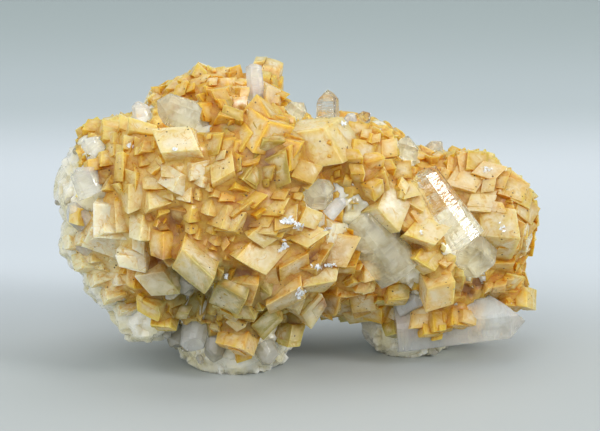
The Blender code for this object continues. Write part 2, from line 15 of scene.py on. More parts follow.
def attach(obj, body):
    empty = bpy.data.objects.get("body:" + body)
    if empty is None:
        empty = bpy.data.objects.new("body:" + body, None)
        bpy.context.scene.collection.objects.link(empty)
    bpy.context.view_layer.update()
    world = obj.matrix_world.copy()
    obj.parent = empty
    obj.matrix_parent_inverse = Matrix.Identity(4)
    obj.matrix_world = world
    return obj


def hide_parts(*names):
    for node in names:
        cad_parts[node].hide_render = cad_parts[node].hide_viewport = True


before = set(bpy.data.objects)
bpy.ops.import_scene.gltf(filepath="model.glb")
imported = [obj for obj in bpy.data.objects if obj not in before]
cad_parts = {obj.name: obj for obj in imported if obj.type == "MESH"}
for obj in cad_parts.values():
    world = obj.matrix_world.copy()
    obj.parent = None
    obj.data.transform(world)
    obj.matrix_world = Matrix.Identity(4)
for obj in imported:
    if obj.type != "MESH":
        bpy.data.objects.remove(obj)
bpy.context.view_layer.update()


# The view. The specimen stands on its quartz and is seen from 12 degrees above, 450 mm away. Crystals
# that show are placed by their corners in a 600 by 431 picture of it, whose scale the specimen's
# length sets. Every piece is then stepped so that the specimen's middle is over the origin.
MM = 0.001
SPECIMEN_LENGTH = 80.3 * MM
LENGTH_IN_PICTURE = 482.0
PICTURE_WIDTH = 600
PIXEL = SPECIMEN_LENGTH / LENGTH_IN_PICTURE
GROUND_POINT = (298.0, 366.0)
PICTURE_MIDDLE = (300.0, 215.5)
LOOKING_DOWN = math.radians(12.0)
VIEW_DISTANCE = 450.0 * MM
RIGHT = Vector((1.0, 0.0, 0.0))
AWAY = Vector((0.0, math.cos(LOOKING_DOWN), -math.sin(LOOKING_DOWN)))
UPWARD = Vector((0.0, math.sin(LOOKING_DOWN), math.cos(LOOKING_DOWN)))
CENTRING = Vector((-0.65, -2.05, 0.0)) * MM
FILM_WIDTH = 36.0
NEAREST_SEEN = 10.0 * MM


def in_picture(x, y):
    """The point under a picture position, on the upright plane through the specimen's origin."""
    across = (x - GROUND_POINT[0]) * PIXEL
    up = (GROUND_POINT[1] - y) * PIXEL
    return RIGHT * across + UPWARD * up


EYE = in_picture(*PICTURE_MIDDLE) - AWAY * VIEW_DISTANCE


def at_depth(x, y, depth):
    """The point under a picture position at a distance behind the plane through the origin."""
    ray = in_picture(x, y) - EYE
    return EYE + ray * ((VIEW_DISTANCE + depth) / VIEW_DISTANCE)


def seen_at(point):
    """The picture position of a point."""
    ray = point - EYE
    ray *= VIEW_DISTANCE / ray.dot(AWAY)
    seen = EYE + ray
    return (GROUND_POINT[0] + seen.dot(RIGHT) / PIXEL, GROUND_POINT[1] - seen.dot(UPWARD) / PIXEL)


def in_scene(name, data):
    """An object with its mesh, lens or lamp, put in the scene."""
    body = bpy.data.objects.new(name, data)
    bpy.context.scene.collection.objects.link(body)
    return body


camera_data = bpy.data.cameras.new("camera")
camera_data.sensor_width = FILM_WIDTH
camera_data.lens = FILM_WIDTH * VIEW_DISTANCE / (PICTURE_WIDTH * PIXEL)
camera_data.clip_start = NEAREST_SEEN
camera = in_scene("camera", camera_data)
camera.matrix_world = (
    Matrix.Translation(EYE + CENTRING)
    @ Matrix((RIGHT, UPWARD, -AWAY)).transposed().to_4x4()
)
bpy.context.scene.camera = camera
bpy.context.scene.view_settings.view_transform = "Standard"


# The milky quartz: the rounded lump that everything grew on, cloudy grey-white rock crystal with
# broken and grown facets and a little rusty stain. It grew as one piece and stands on three worn flats.
# Each row of LOBES is a swelling: its centre and half-sizes, how many small quartz crystals and how
# many dolomite crystals may stand on it.
LOBES = [
    (Vector((-12.6, 2.0, 26.6)) * MM, Vector((20.8, 17.5, 20.6)) * MM, 56, 140),
    (Vector((22.0, 8.5, 20.4)) * MM, Vector((14.8, 13.0, 14.4)) * MM, 24, 80),
    (Vector((7.8, 5.0, 27.2)) * MM, Vector((13.0, 13.0, 14.2)) * MM, 16, 60),
    (Vector((-32.2, 2.0, 29.4)) * MM, Vector((7.0, 10.0, 9.5)) * MM, 34, 20),
    (Vector((-10.5, 1.5, 6.0)) * MM, Vector((10.0, 9.0, 9.4)) * MM, 28, 0),
    (Vector((19.0, 11.0, 5.4)) * MM, Vector((7.5, 7.5, 7.6)) * MM, 20, 0),
    (Vector((-11.0, 18.0, 8.0)) * MM, Vector((7.5, 7.0, 10.4)) * MM, 18, 0),
    (Vector((-33.2, 1.0, 21.5)) * MM, Vector((5.8, 8.0, 5.6)) * MM, 0, 16),
    (Vector((-29.5, 0.5, 15.5)) * MM, Vector((6.0, 8.5, 5.6)) * MM, 0, 16),
    (Vector((-24.5, 0.0, 10.0)) * MM, Vector((6.2, 8.5, 5.2)) * MM, 0, 14),
]
# Each row of GAPS is a deep gap between the crystals, seen from the viewer's side: its middle and
# half-width in pixels, its depth in millimetres and the stain in it. The widest is the olive hollow.
RUST_BROWN = (0.27, 0.115, 0.03)
MOSS_OLIVE = (0.40, 0.36, 0.16)
GAPS = [
    (268, 159, 9, 2.6, RUST_BROWN), (156, 264, 11, 3.0, RUST_BROWN), (245, 223, 8, 2.2, RUST_BROWN),
    (315, 260, 8, 2.2, RUST_BROWN), (419, 244, 7, 2.0, RUST_BROWN), (326, 306, 10, 2.4, RUST_BROWN),
    (176, 219, 7, 2.0, RUST_BROWN), (243, 273, 7, 1.8, RUST_BROWN), (230, 128, 6, 1.8, MOSS_OLIVE),
    (300, 262, 6, 1.6, RUST_BROWN), (468, 291, 8, 1.6, RUST_BROWN), (436, 303, 7, 1.6, RUST_BROWN),
    (478, 283, 7, 1.4, RUST_BROWN), (104, 178, 10, 1.4, RUST_BROWN), (198, 292, 36, 4.6, MOSS_OLIVE),
    (238, 306, 9, 2.2, MOSS_OLIVE), (402, 296, 12, 1.6, MOSS_OLIVE),
]
GAP_STEEP = 1.6
GAP_WOBBLE = 0.55
GAP_WOBBLE_SIZE = 1.6 * MM
# The lump's own relief, the facets cut into it, and its colours
LUMP_FINENESS = 5
LUMP_DEPTH = 0.9 * MM
LUMP_SIZE = 7.0 * MM
LUMP_VOXEL = 0.6 * MM
FACET_CROWD = 1.6
FACET_SPACING = 2.6 * MM
FACET_TILT = 0.42
FACET_LIMIT = 0.55 * MM
LUMP_SEED = 5
LUMP_SHARP = 30.0
GREY_WHITE = (0.84, 0.81, 0.70, 1.0)
DULL_YELLOW = (0.74, 0.68, 0.46, 1.0)
GOLD_FILM = (0.88, 0.66, 0.14, 1.0)
RED_BROWN_FILM = (0.24, 0.085, 0.025, 1.0)
CREVICE_SAMPLES = 6
QUARTZ_STAIN = 0.66
QUARTZ_IOR = 1.544


def swelling(centre, half, grow):
    """One rounded, lumpy swelling of the quartz."""
    shape = bmesh.new()
    bmesh.ops.create_icosphere(shape, subdivisions=LUMP_FINENESS, radius=1.0)
    for corner in shape.verts:
        outward = corner.co.normalized()
        place = centre + Vector([outward[i] * half[i] for i in range(3)])
        lump = noise.noise(place / LUMP_SIZE) * LUMP_DEPTH
        corner.co = place + outward * (lump + grow)
    return shape


def remesh(body, voxel):
    """Gives a body one new, even skin all round."""
    weld = body.modifiers.new("weld", "REMESH")
    weld.mode = "VOXEL"
    weld.voxel_size = voxel


def as_it_shows(body):
    """The mesh of a body with all that is done to it."""
    graph = bpy.context.evaluated_depsgraph_get()
    return bpy.data.meshes.new_from_object(body.evaluated_get(graph))


def corners_of(mesh):
    """The places of a mesh's corners."""
    places = np.zeros(len(mesh.vertices) * 3)
    mesh.vertices.foreach_get("co", places)
    return places.reshape(-1, 3)


def faces_of(mesh):
    """A mesh's faces, each as the numbers of its corners."""
    return [tuple(face.vertices) for face in mesh.polygons]


def joined_skin(lobes, grow, voxel):
    """The outer skin of several swellings grown into one, as corners, outward directions and faces."""
    joined = bmesh.new()
    for lobe in lobes:
        shape = swelling(*lobe[:2], grow)
        part = bpy.data.meshes.new("swelling")
        shape.to_mesh(part)
        shape.free()
        joined.from_mesh(part)
        bpy.data.meshes.remove(part)
    mesh = bpy.data.meshes.new("skin")
    joined.to_mesh(mesh)
    joined.free()
    body = in_scene("skin", mesh)
    remesh(body, voxel)
    skin = as_it_shows(body)
    corners = corners_of(skin)
    outward = np.zeros(len(skin.vertices) * 3)
    skin.vertex_normals.foreach_get("vector", outward)
    faces = faces_of(skin)
    bpy.data.objects.remove(body)
    bpy.data.meshes.remove(mesh)
    bpy.data.meshes.remove(skin)
    return corners, outward.reshape(-1, 3), faces


def swayed(draw, spread):
    """A random step, about as long each way as given."""
    return Vector([draw.gauss(0.0, spread) for _ in range(3)])


def facetted(corners, outward, voxel, spacing, tilt, limit, seed):
    """The skin cut into small tilted facets, as broken and grown crystal is."""
    draw = random.Random(seed)
    count = int(len(corners) * (voxel / spacing) ** 2 * FACET_CROWD)
    picks = [draw.randrange(len(corners)) for _ in range(count)]
    seeds = KDTree(count)
    slopes = []
    for number, pick in enumerate(picks):
        seeds.insert(Vector(corners[pick]), number)
        slopes.append(swayed(draw, tilt))
    seeds.balance()
    cut = corners.copy()
    for number, place in enumerate(corners):
        middle, nearest, _ = seeds.find(Vector(place))
        rise = (Vector(place) - middle).dot(slopes[nearest])
        rise = max(-limit, min(limit, rise))
        cut[number] += outward[number] * rise
    return cut


def seen_from_front(places):
    """The picture positions of many points."""
    rays = places - np.array(EYE)
    rays = rays * (VIEW_DISTANCE / (rays @ np.array(AWAY)))[:, None]
    seen = rays + np.array(EYE)
    x = GROUND_POINT[0] + seen @ np.array(RIGHT) / PIXEL
    y = GROUND_POINT[1] - seen @ np.array(UPWARD) / PIXEL
    return x, y


def gap_shares(places):
    """How far inside each gap the places lie, from 1 in its middle to less than 0 outside it."""
    places = np.asarray(places, dtype=float).reshape(-1, 3)
    x, y = seen_from_front(places)
    front = places[:, 1] < LOBES[0][0].y
    wobble = np.array([noise.noise(Vector(place) / GAP_WOBBLE_SIZE) for place in places]) * GAP_WOBBLE
    shares = []
    for gap_x, gap_y, half_width, _, _ in GAPS:
        off_middle = np.hypot(x - gap_x, y - gap_y) / half_width
        shares.append(np.where(front, 1.0 + wobble - off_middle, -1.0))
    return shares


def sunk(places):
    """How deep the gaps between the crystals are at some places."""
    depth = np.zeros(len(places))
    for (_, _, _, deepest, _), share in zip(GAPS, gap_shares(places)):
        share = np.clip(share * GAP_STEEP, 0.0, 1.0)
        depth = np.maximum(depth, share * share * (3.0 - 2.0 * share) * deepest * MM)
    return depth


def shell(name, corners, faces, attributes=()):
    """A mesh from corners and faces, with values at the corners of its faces."""
    mesh = bpy.data.meshes.new(name)
    faces = [tuple(face) for face in faces]
    mesh.from_pydata(np.asarray(corners, dtype=float).tolist(), [], faces)
    order = np.array([corner for face in faces for corner in face])
    for title, kind, values in attributes:
        layer = mesh.attributes.new(title, kind, "CORNER")
        field = "color" if kind == "FLOAT_COLOR" else "vector"
        layer.data.foreach_set(field, np.asarray(values, dtype=np.float32)[order].ravel())
    return mesh


def piece(name, mesh, finish, nodes, sharp):
    """One finished piece: a mesh in its place on the specimen, riding with it."""
    mesh.transform(Matrix.Translation(CENTRING))
    mesh.materials.clear()
    mesh.materials.append(finish)
    mesh.shade_smooth()
    mesh.set_sharp_from_angle(angle=math.radians(sharp))
    mesh.update()
    body = in_scene(name, mesh)
    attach(body, "root")
    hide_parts(*nodes)


def wire(tree, node, sockets):
    """Sets the sockets of a shader node, or feeds them from other nodes."""
    for name, value in sockets.items():
        socket = node.inputs[name]
        if isinstance(value, bpy.types.NodeSocket):
            tree.links.new(value, socket)
        else:
            socket.default_value = value


def place_node(tree, kind, settings=None, sockets=None):
    """A shader node with its settings and sockets."""
    new = tree.nodes.new(kind)
    for name, value in (settings or {}).items():
        setattr(new, name, value)
    wire(tree, new, sockets or {})
    return new


def carried(tree, name, kind="Vector"):
    """A value that the mesh carries at each spot."""
    return place_node(tree, "ShaderNodeAttribute", {"attribute_name": name}).outputs[kind]


def sum_up(tree, operation, first, second=0.0, third=0.0, clamp=False):
    """One step of arithmetic."""
    settings = {"operation": operation, "use_clamp": clamp}
    return place_node(tree, "ShaderNodeMath", settings, {0: first, 1: second, 2: third}).outputs[0]


def blend(tree, share, first, second, way="MIX"):
    """Two colours mixed by a share."""
    settings = {"data_type": "RGBA", "blend_type": way}
    sockets = {0: share, 6: first, 7: second}
    return place_node(tree, "ShaderNodeMix", settings, sockets).outputs[2]


def stretch(tree, value, low, high, to_low=0.0, to_high=1.0):
    """A value brought from one range to another, with soft ends."""
    settings = {"interpolation_type": "SMOOTHSTEP"}
    sockets = {"Value": value, 1: low, 2: high, 3: to_low, 4: to_high}
    return place_node(tree, "ShaderNodeMapRange", settings, sockets).outputs[0]


def mottle(tree, where, size, detail=3.0, distortion=0.0):
    """Cloudy variation with patches of about a given size."""
    sockets = {"Vector": where, "Scale": 1.0 / size, "Detail": detail, "Distortion": distortion}
    return place_node(tree, "ShaderNodeTexNoise", None, sockets).outputs["Fac"]


def bumped(tree, strength, distance, height):
    """How a surface faces when a height makes it uneven."""
    sockets = {"Strength": strength, "Distance": distance, "Height": height}
    return place_node(tree, "ShaderNodeBump", None, sockets).outputs["Normal"]


def bare_group(name, inputs, output, kind="Float"):
    """An empty shader node group with named inputs and one named output."""
    tree = bpy.data.node_groups.new(name, "ShaderNodeTree")
    for title, input_kind in inputs.items():
        tree.interface.new_socket(title, in_out="INPUT", socket_type="NodeSocket" + input_kind)
    tree.interface.new_socket(output, in_out="OUTPUT", socket_type="NodeSocket" + kind)
    return tree, tree.nodes.new("NodeGroupInput").outputs, tree.nodes.new("NodeGroupOutput")


def use_group(tree, group, sockets):
    """What a group placed in a material, with its own values, puts out."""
    return place_node(tree, "ShaderNodeGroup", {"node_tree": group}, sockets).outputs[0]


def build_crevice_group():
    """How hidden a spot is between crystals of its own piece: 0 in the open, 1 deep down."""
    tree, given, result = bare_group("hidden between crystals", {"Reach": "Float"}, "Hidden")
    settings = {"samples": CREVICE_SAMPLES, "only_local": True}
    shade = place_node(tree, "ShaderNodeAmbientOcclusion", settings, {"Distance": given["Reach"]})
    wire(tree, result, {"Hidden": sum_up(tree, "SUBTRACT", 1.0, shade.outputs["AO"], clamp=True)})
    return tree


def build_rust_group():
    """Rust: a film of gold and red-brown iron stain that follows clouds and hidden places."""
    inputs = {"Colour": "Color", "Hidden": "Float", "Amount": "Float", "Where": "Vector"}
    tree, given, result = bare_group("rust", inputs, "Colour", "Color")
    clouds = mottle(tree, given["Where"], 6.0 * MM, 3.0, 0.6)
    patches = mottle(tree, given["Where"], 1.8 * MM, 4.0, 1.0)
    both = sum_up(tree, "ADD", sum_up(tree, "MULTIPLY", clouds, 0.8),
                  sum_up(tree, "MULTIPLY", patches, 0.5))
    pull = sum_up(tree, "ADD", both, sum_up(tree, "MULTIPLY", given["Hidden"], 0.9))
    pull = sum_up(tree, "MULTIPLY", pull, given["Amount"])
    gold_share = stretch(tree, pull, 0.50, 1.25, 0.0, 0.9)
    brown_share = stretch(tree, pull, 1.15, 1.65, 0.0, 0.85)
    gold = blend(tree, gold_share, given["Colour"], GOLD_FILM, "MULTIPLY")
    wire(tree, result, {"Colour": blend(tree, brown_share, gold, RED_BROWN_FILM)})
    return tree


crevices = build_crevice_group()
rust = build_rust_group()


def new_finish(name):
    """A material with a Principled surface, its tree, and the place on the object."""
    finish = bpy.data.materials.new(name)
    finish.use_nodes = True
    tree = finish.node_tree
    where = tree.nodes.new("ShaderNodeTexCoord").outputs["Object"]
    return finish, tree, tree.nodes["Principled BSDF"], where


def build_milky_finish():
    """Cloudy quartz: light goes in and comes back grey-white, with wet-looking facets."""
    finish, tree, surface, where = new_finish("milky quartz")
    hidden = use_group(tree, crevices, {"Reach": 3.5 * MM})
    clouds = mottle(tree, where, 4.0 * MM, 4.0, 0.5)
    base = blend(tree, stretch(tree, clouds, 0.35, 0.65), GREY_WHITE, DULL_YELLOW)
    fine = mottle(tree, where, 0.5 * MM, 4.0)
    wire(tree, surface, {
        "Base Color": use_group(
            tree, rust, {"Colour": base, "Hidden": hidden, "Amount": QUARTZ_STAIN, "Where": where}),
        "Roughness": stretch(tree, fine, 0.3, 0.7, 0.12, 0.34),
        "Normal": bumped(tree, 0.5, 0.12 * MM, fine),
        "IOR": QUARTZ_IOR,
        "Subsurface Weight": 0.8,
        "Subsurface Radius": (1.0, 0.95, 0.80),
        "Subsurface Scale": 2.5 * MM,
    })
    return finish


milky_finish = build_milky_finish()
corners, outward, faces = joined_skin(LOBES, 0.0, LUMP_VOXEL)
corners = facetted(corners, outward, LUMP_VOXEL, FACET_SPACING, FACET_TILT, FACET_LIMIT, LUMP_SEED)
corners -= outward * sunk(corners)[:, None]
corners[:, 2] = np.maximum(corners[:, 2], 0.0)
milky_mesh = shell("milky_quartz", corners, faces)
piece("milky_quartz", milky_mesh, milky_finish, ["quartz"], LUMP_SHARP)


# The clear quartz crystals: six-sided rock crystal, cross-striated, glassy and see-through, grown from
# the milky lump. Each row is a crystal that shows: foot, tip, foot radius and tip radius in pixels, then
# how far the foot stands out and how far the tip comes forward in millimetres, the turn, the height
# of the point as a share of the tip's radius, and its finish.
CLEAR_SEEN = [
    ((468, 241), (419, 168), 21, 17, 2.6, 0.8, 29, 0.35, "clear"),
    ((328, 134), (328, 86), 13.5, 12, -1.0, 0.0, 12, 1.1, "clear"),
    ((350, 128), (372, 113), 9, 7, -1.0, 0.5, 0, 0.9, "clear"),
    ((395, 329), (531, 314), 30, 28, 3.0, -1.0, 20, 1.0, "icy"),
    ((402, 272), (352, 210), 30, 27, 2.0, 2.0, 14, 0.3, "hazy"),
    ((196, 120), (152, 103), 19, 16, 0.8, 1.5, 0, 0.8, "hazy"),
    ((143, 124), (139, 98), 11, 9, -1.0, 0.0, 0, 0.8, "icy"),
    ((386, 150), (389, 138), 8, 7, -1.0, 0.5, 0, 0.8, "hazy"),
    ((428, 156), (443, 140), 11, 8, -1.0, 0.5, 0, 0.9, "hazy"),
    ((318, 198), (322, 182), 17, 13, 0.5, 3.5, 0, 0.6, "hazy"),
    ((328, 216), (346, 196), 8, 7, 3.2, 0.5, 0, 0.8, "icy"),
    ((398, 308), (424, 297), 12, 9, 2.4, 1.0, 0, 0.6, "icy"),
    ((94, 194), (80, 164), 18, 15, 0.0, 0.5, 0, 0.5, "icy"),
    ((98, 152), (84, 136), 12, 10, 0.0, 1.0, 10, 0.6, "icy"),
    ((88, 222), (64, 205), 15, 12, 0.0, 0.5, 0, 0.7, "icy"),
    ((92, 250), (74, 234), 13, 10, 0.0, 0.5, 30, 0.6, "icy"),
    ((480, 262), (464, 244), 24, 21, 1.4, 2.6, 10, 0.4, "hazy"),
    ((196, 326), (190, 356), 16, 13, 0.5, 2.0, 0, 0.7, "icy"),
    ((257, 104), (253, 62), 10, 9, -2.0, 0.0, 8, 0.5, "icy"),
    ((290, 118), (304, 100), 12, 10, -1.0, 0.5, 15, 0.6, "hazy"),
    ((405, 158), (411, 134), 14, 12, -1.0, 0.5, 20, 0.7, "hazy"),
    ((346, 128), (356, 112), 8, 7, -0.6, 0.5, 15, 0.8, "icy"),
]
SIDES = 6
SIDE_TURN = 360.0 / SIDES
CUT_BACK = 0.16
BROAD_CUT = 0.08
BROAD_SIDE = 4
LOWEST_POINT = 0.2 * MM
POINT_SWAY = 4.0
POINT_DROPS = (0.0, 0.0, 0.25, 0.5)
EDGE_WEAR = 0.05 * MM
CLEAR_SEED = 11
CRYSTAL_SHARP = 12.0
TOWARD_LEAST = 0.5
ASIDE_LEAST = 0.2
LINE_STEP = 2.6
ALONG_LINES = (0.12, 0.12, 1.0)
SHADOW_TINT = (0.93, 0.93, 0.91, 1.0)


def lump_surface(x, y):
    """Depth where the line of sight meets the quartz lump, or passes nearest to it."""
    ray = in_picture(x, y) - EYE
    best_hit = None
    nearest = None
    for centre, half, _, _ in LOBES:
        start = Vector([(EYE[i] - centre[i]) / half[i] for i in range(3)])
        step = Vector([ray[i] / half[i] for i in range(3)])
        middle = -start.dot(step) / step.dot(step)
        miss = (start + step * middle).length
        if miss < 1.0:
            hit = middle - math.sqrt((1.0 - miss * miss) / step.dot(step))
            if best_hit is None or hit < best_hit:
                best_hit = hit
        if nearest is None or miss < nearest[0]:
            nearest = (miss, middle)
    if best_hit is None:
        best_hit = nearest[1]
    return (best_hit - 1.0) * VIEW_DISTANCE


def crystals_placed(rows):
    """Foot, tip, radii, turn and point of quartz crystals given by what shows of them."""
    placed = []
    for foot, tip, foot_radius, tip_radius, stand_out, forward, turn, point in rows:
        depth = lump_surface(*foot) - stand_out * MM
        start = at_depth(foot[0], foot[1], depth)
        end = at_depth(tip[0], tip[1], depth - forward * MM)
        placed.append((start, end, foot_radius * PIXEL, tip_radius * PIXEL, turn, point))
    return placed


def cut(shape, through, facing):
    """Cuts off all that lies beyond a plane and closes the cut with a flat face."""
    geometry = shape.verts[:] + shape.edges[:] + shape.faces[:]
    result = bmesh.ops.bisect_plane(
        shape, geom=geometry, plane_co=through, plane_no=facing, clear_outer=True)
    rim = [item for item in result["geom_cut"] if isinstance(item, bmesh.types.BMEdge)]
    if rim:
        bmesh.ops.contextual_create(shape, geom=rim)


def quartz_crystal(foot, tip, foot_radius, tip_radius, turn, point, draw, worn=True, broad=None):
    """A six-sided crystal with uneven sides, one of them broad, and a point of six uneven faces."""
    shape = bmesh.new()
    along = (tip - foot).normalized()
    length = (tip - foot).length
    bmesh.ops.create_cone(
        shape, cap_ends=True, segments=SIDES, radius1=foot_radius, radius2=tip_radius, depth=length)
    for corner in shape.verts:
        corner.co.z += length / 2.0
    level = tip_radius * math.cos(math.pi / SIDES)
    lean = (foot_radius - tip_radius) / length
    for side in range(SIDES):
        angle = math.radians(SIDE_TURN * side + SIDE_TURN / 2.0)
        keep = 1.0 - draw.uniform(0.0, CUT_BACK)
        if broad is not None:
            keep = 1.0 - BROAD_CUT if side == broad else 1.0
        facing = Vector((math.cos(angle), math.sin(angle), lean))
        cut(shape, Vector((math.cos(angle), math.sin(angle), 0.0)) * level * keep
            + Vector((0.0, 0.0, length)), facing.normalized())
    high = max(tip_radius * point, LOWEST_POINT)
    for side in range(SIDES):
        angle = math.radians(SIDE_TURN * side + SIDE_TURN / 2.0 + draw.uniform(-POINT_SWAY, POINT_SWAY))
        facing = Vector((math.cos(angle) * high, math.sin(angle) * high, level)).normalized()
        drop = draw.choice(POINT_DROPS) * high
        cut(shape, Vector((0.0, 0.0, length - drop)), facing)
    if worn:
        bmesh.ops.bevel(shape, geom=shape.edges[:], offset=EDGE_WEAR, segments=1, affect="EDGES")
    local = [corner.co.copy() for corner in shape.verts]
    swing = Vector((0.0, 0.0, 1.0)).rotation_difference(along).to_matrix().to_4x4()
    spin = Matrix.Rotation(math.radians(turn), 4, "Z")
    bmesh.ops.transform(shape, matrix=Matrix.Translation(foot) @ swing @ spin, verts=shape.verts)
    return shape, local


def gathered(shapes):
    """Corners, faces and local places of several shapes put together as one mesh."""
    corners = []
    faces = []
    places = []
    for shape, local in shapes:
        shape.verts.index_update()
        first = len(corners)
        corners.extend(tuple(corner.co) for corner in shape.verts)
        places.extend(tuple(place / MM) for place in local)
        faces.extend(tuple(corner.index + first for corner in face.verts) for face in shape.faces)
        shape.free()
    return corners, faces, places


def build_striation_group():
    """Growth lines across a quartz crystal's sides: fine steps along its length, broken up."""
    tree, given, result = bare_group("growth lines of quartz", {"Step": "Float"}, "Height")
    squeeze = place_node(tree, "ShaderNodeVectorMath", {"operation": "MULTIPLY"},
                         {0: carried(tree, "place"), 1: ALONG_LINES})
    lines = place_node(tree, "ShaderNodeTexNoise", None,
                       {"Vector": squeeze.outputs[0], "Scale": given["Step"], "Detail": 5.0})
    wire(tree, result, {"Height": stretch(tree, lines.outputs["Fac"], 0.44, 0.54)})
    return tree


striations = build_striation_group()


def build_clear_finish(name, clearness, white, grey, depth_tint, density):
    """Rock crystal: clear or a little milky, tinted in depth, with striated, glassy faces."""
    finish, tree, surface, where = new_finish(name + " quartz")
    smudges = mottle(tree, where, 2.2 * MM, 4.0, 0.8)
    wire(tree, surface, {
        "Base Color": blend(tree, stretch(tree, smudges, 0.40, 0.70), (*white, 1.0), (*grey, 1.0)),
        "Roughness": stretch(tree, smudges, 0.5, 0.8, 0.02, 0.16),
        "Normal": bumped(tree, 0.5, 0.09 * MM, use_group(tree, striations, {"Step": LINE_STEP})),
        "IOR": QUARTZ_IOR,
        "Transmission Weight": clearness,
        "Subsurface Weight": 0.6,
        "Subsurface Radius": (1.0, 0.95, 0.85),
        "Subsurface Scale": 3.0 * MM,
    })
    depth = place_node(tree, "ShaderNodeVolumeAbsorption", None,
                       {"Color": (*depth_tint, 1.0), "Density": density})
    through = place_node(tree, "ShaderNodeBsdfTransparent", None, {"Color": SHADOW_TINT})
    ray = tree.nodes.new("ShaderNodeLightPath")
    lit = place_node(tree, "ShaderNodeMixShader", None,
                     {0: ray.outputs["Is Shadow Ray"], 1: surface.outputs[0], 2: through.outputs[0]})
    wire(tree, tree.nodes["Material Output"], {"Surface": lit.outputs[0], "Volume": depth.outputs[0]})
    return finish


# How clear each kind is, its white and grey, and the tint and density of its depth
CLEAR_KINDS = {
    "clear": (1.0, (0.97, 0.97, 0.95), (0.90, 0.88, 0.80), (0.80, 0.77, 0.58), 30.0),
    "hazy": (0.75, (0.84, 0.81, 0.68), (0.62, 0.56, 0.38), (0.82, 0.78, 0.58), 50.0),
    "icy": (0.62, (0.94, 0.95, 0.92), (0.79, 0.79, 0.74), (0.88, 0.90, 0.84), 25.0),
}
clear_rows = crystals_placed([row[:-1] for row in CLEAR_SEEN])
draw = random.Random(CLEAR_SEED)
shapes = [quartz_crystal(*clear_rows[0], draw, broad=BROAD_SIDE)]
shapes += [quartz_crystal(*row, draw) for row in clear_rows[1:]]


def mirrored_to_viewer(shape, side):
    """The middle of a crystal's largest face on one side, and where the light it mirrors comes from."""
    best = None
    for face in shape.faces:
        middle = face.calc_center_median()
        toward = (EYE - middle).normalized()
        facing = face.normal
        if facing.dot(toward) > TOWARD_LEAST and facing.dot(side) > ASIDE_LEAST:
            if best is None or face.calc_area() > best[0]:
                best = (face.calc_area(), middle, 2.0 * facing.dot(toward) * facing - toward)
    return best[1], best[2]


shapes[0][0].normal_update()
WHITE_FACE, WHITE_FACE_LIGHT = mirrored_to_viewer(shapes[0][0], RIGHT)
clear_corners = []
clear_faces = []
for kind, looks in CLEAR_KINDS.items():
    name = kind + "_quartz_crystals"
    of_a_kind = [shape for shape, row in zip(shapes, CLEAR_SEEN) if row[-1] == kind]
    corners, faces, places = gathered(of_a_kind)
    clear_faces += [tuple(corner + len(clear_corners) for corner in face) for face in faces]
    clear_corners += corners
    mesh = shell(name, corners, faces, [("place", "FLOAT_VECTOR", places)])
    piece(name, mesh, build_clear_finish(kind, *looks), ["quartz"], CRYSTAL_SHARP)


# The veils inside the clear crystals: sheets of tiny healed bubbles that shine white. Each row is which
# crystal they are in, how many sheets, and how many bubbles each has.
VEILS = [
    (0, 3, 90), (1, 1, 40), (3, 4, 110), (4, 3, 90), (5, 2, 60), (8, 2, 50), (9, 2, 40), (10, 2, 60),
    (11, 3, 60), (12, 2, 60), (17, 2, 60),
]
BUBBLE_SIZES = (0.04 * MM, 0.15 * MM)
BUBBLE_FLAT = 0.3
VEIL_TILT = 0.8
VEIL_PLACES = (0.15, 0.85)
VEIL_SPREAD = (0.45, 0.25)
VEIL_WAVE = 0.5 * MM
VEIL_WAVE_LENGTH = 2.0 * MM
VEIL_REACH = 0.68
VEIL_ENDS = (0.05, 0.93)
VEIL_WHITE = (0.95, 0.95, 0.94, 1.0)
VEIL_GREY = (0.74, 0.73, 0.70, 1.0)
VEIL_SEED = 41
GRAIN_SHARP = 20.0
CUBE_WAYS = [Vector(way) for way in ((1, 0, 0), (0, 1, 0), (-1, 0, 0), (0, -1, 0), (0, 0, 1), (0, 0, -1))]
GRAIN_FACES = [(0, 1, 4), (1, 2, 4), (2, 3, 4), (3, 0, 4), (1, 0, 5), (2, 1, 5), (3, 2, 5), (0, 3, 5)]


class Grains:
    """Eight-sided grains put together as one mesh."""

    def __init__(self):
        self.corners = []
        self.faces = []

    def add(self, middle, long, side, thin):
        """A grain from its middle and three half-sizes."""
        first = len(self.corners)
        for way in CUBE_WAYS:
            self.corners.append(middle + long * way.x + side * way.y + thin * way.z)
        self.faces += [tuple(first + corner for corner in face) for face in GRAIN_FACES]

    def finish(self, name, finish, slot, node):
        """Turns the grains into a piece."""
        mesh = shell(name, [tuple(corner) for corner in self.corners], self.faces)
        piece(name, mesh, finish, [node], GRAIN_SHARP)


def any_way(draw):
    """A random direction."""
    return swayed(draw, 1.0).normalized()


def build_grain_finish(name, size, one, other, roughness):
    """Small grains of one mineral, of one colour and another in patches of a given size."""
    finish, tree, surface, where = new_finish(name)
    share = stretch(tree, mottle(tree, where, size), 0.4, 0.6)
    wire(tree, surface, {"Base Color": blend(tree, share, one, other), "Roughness": roughness})
    return finish


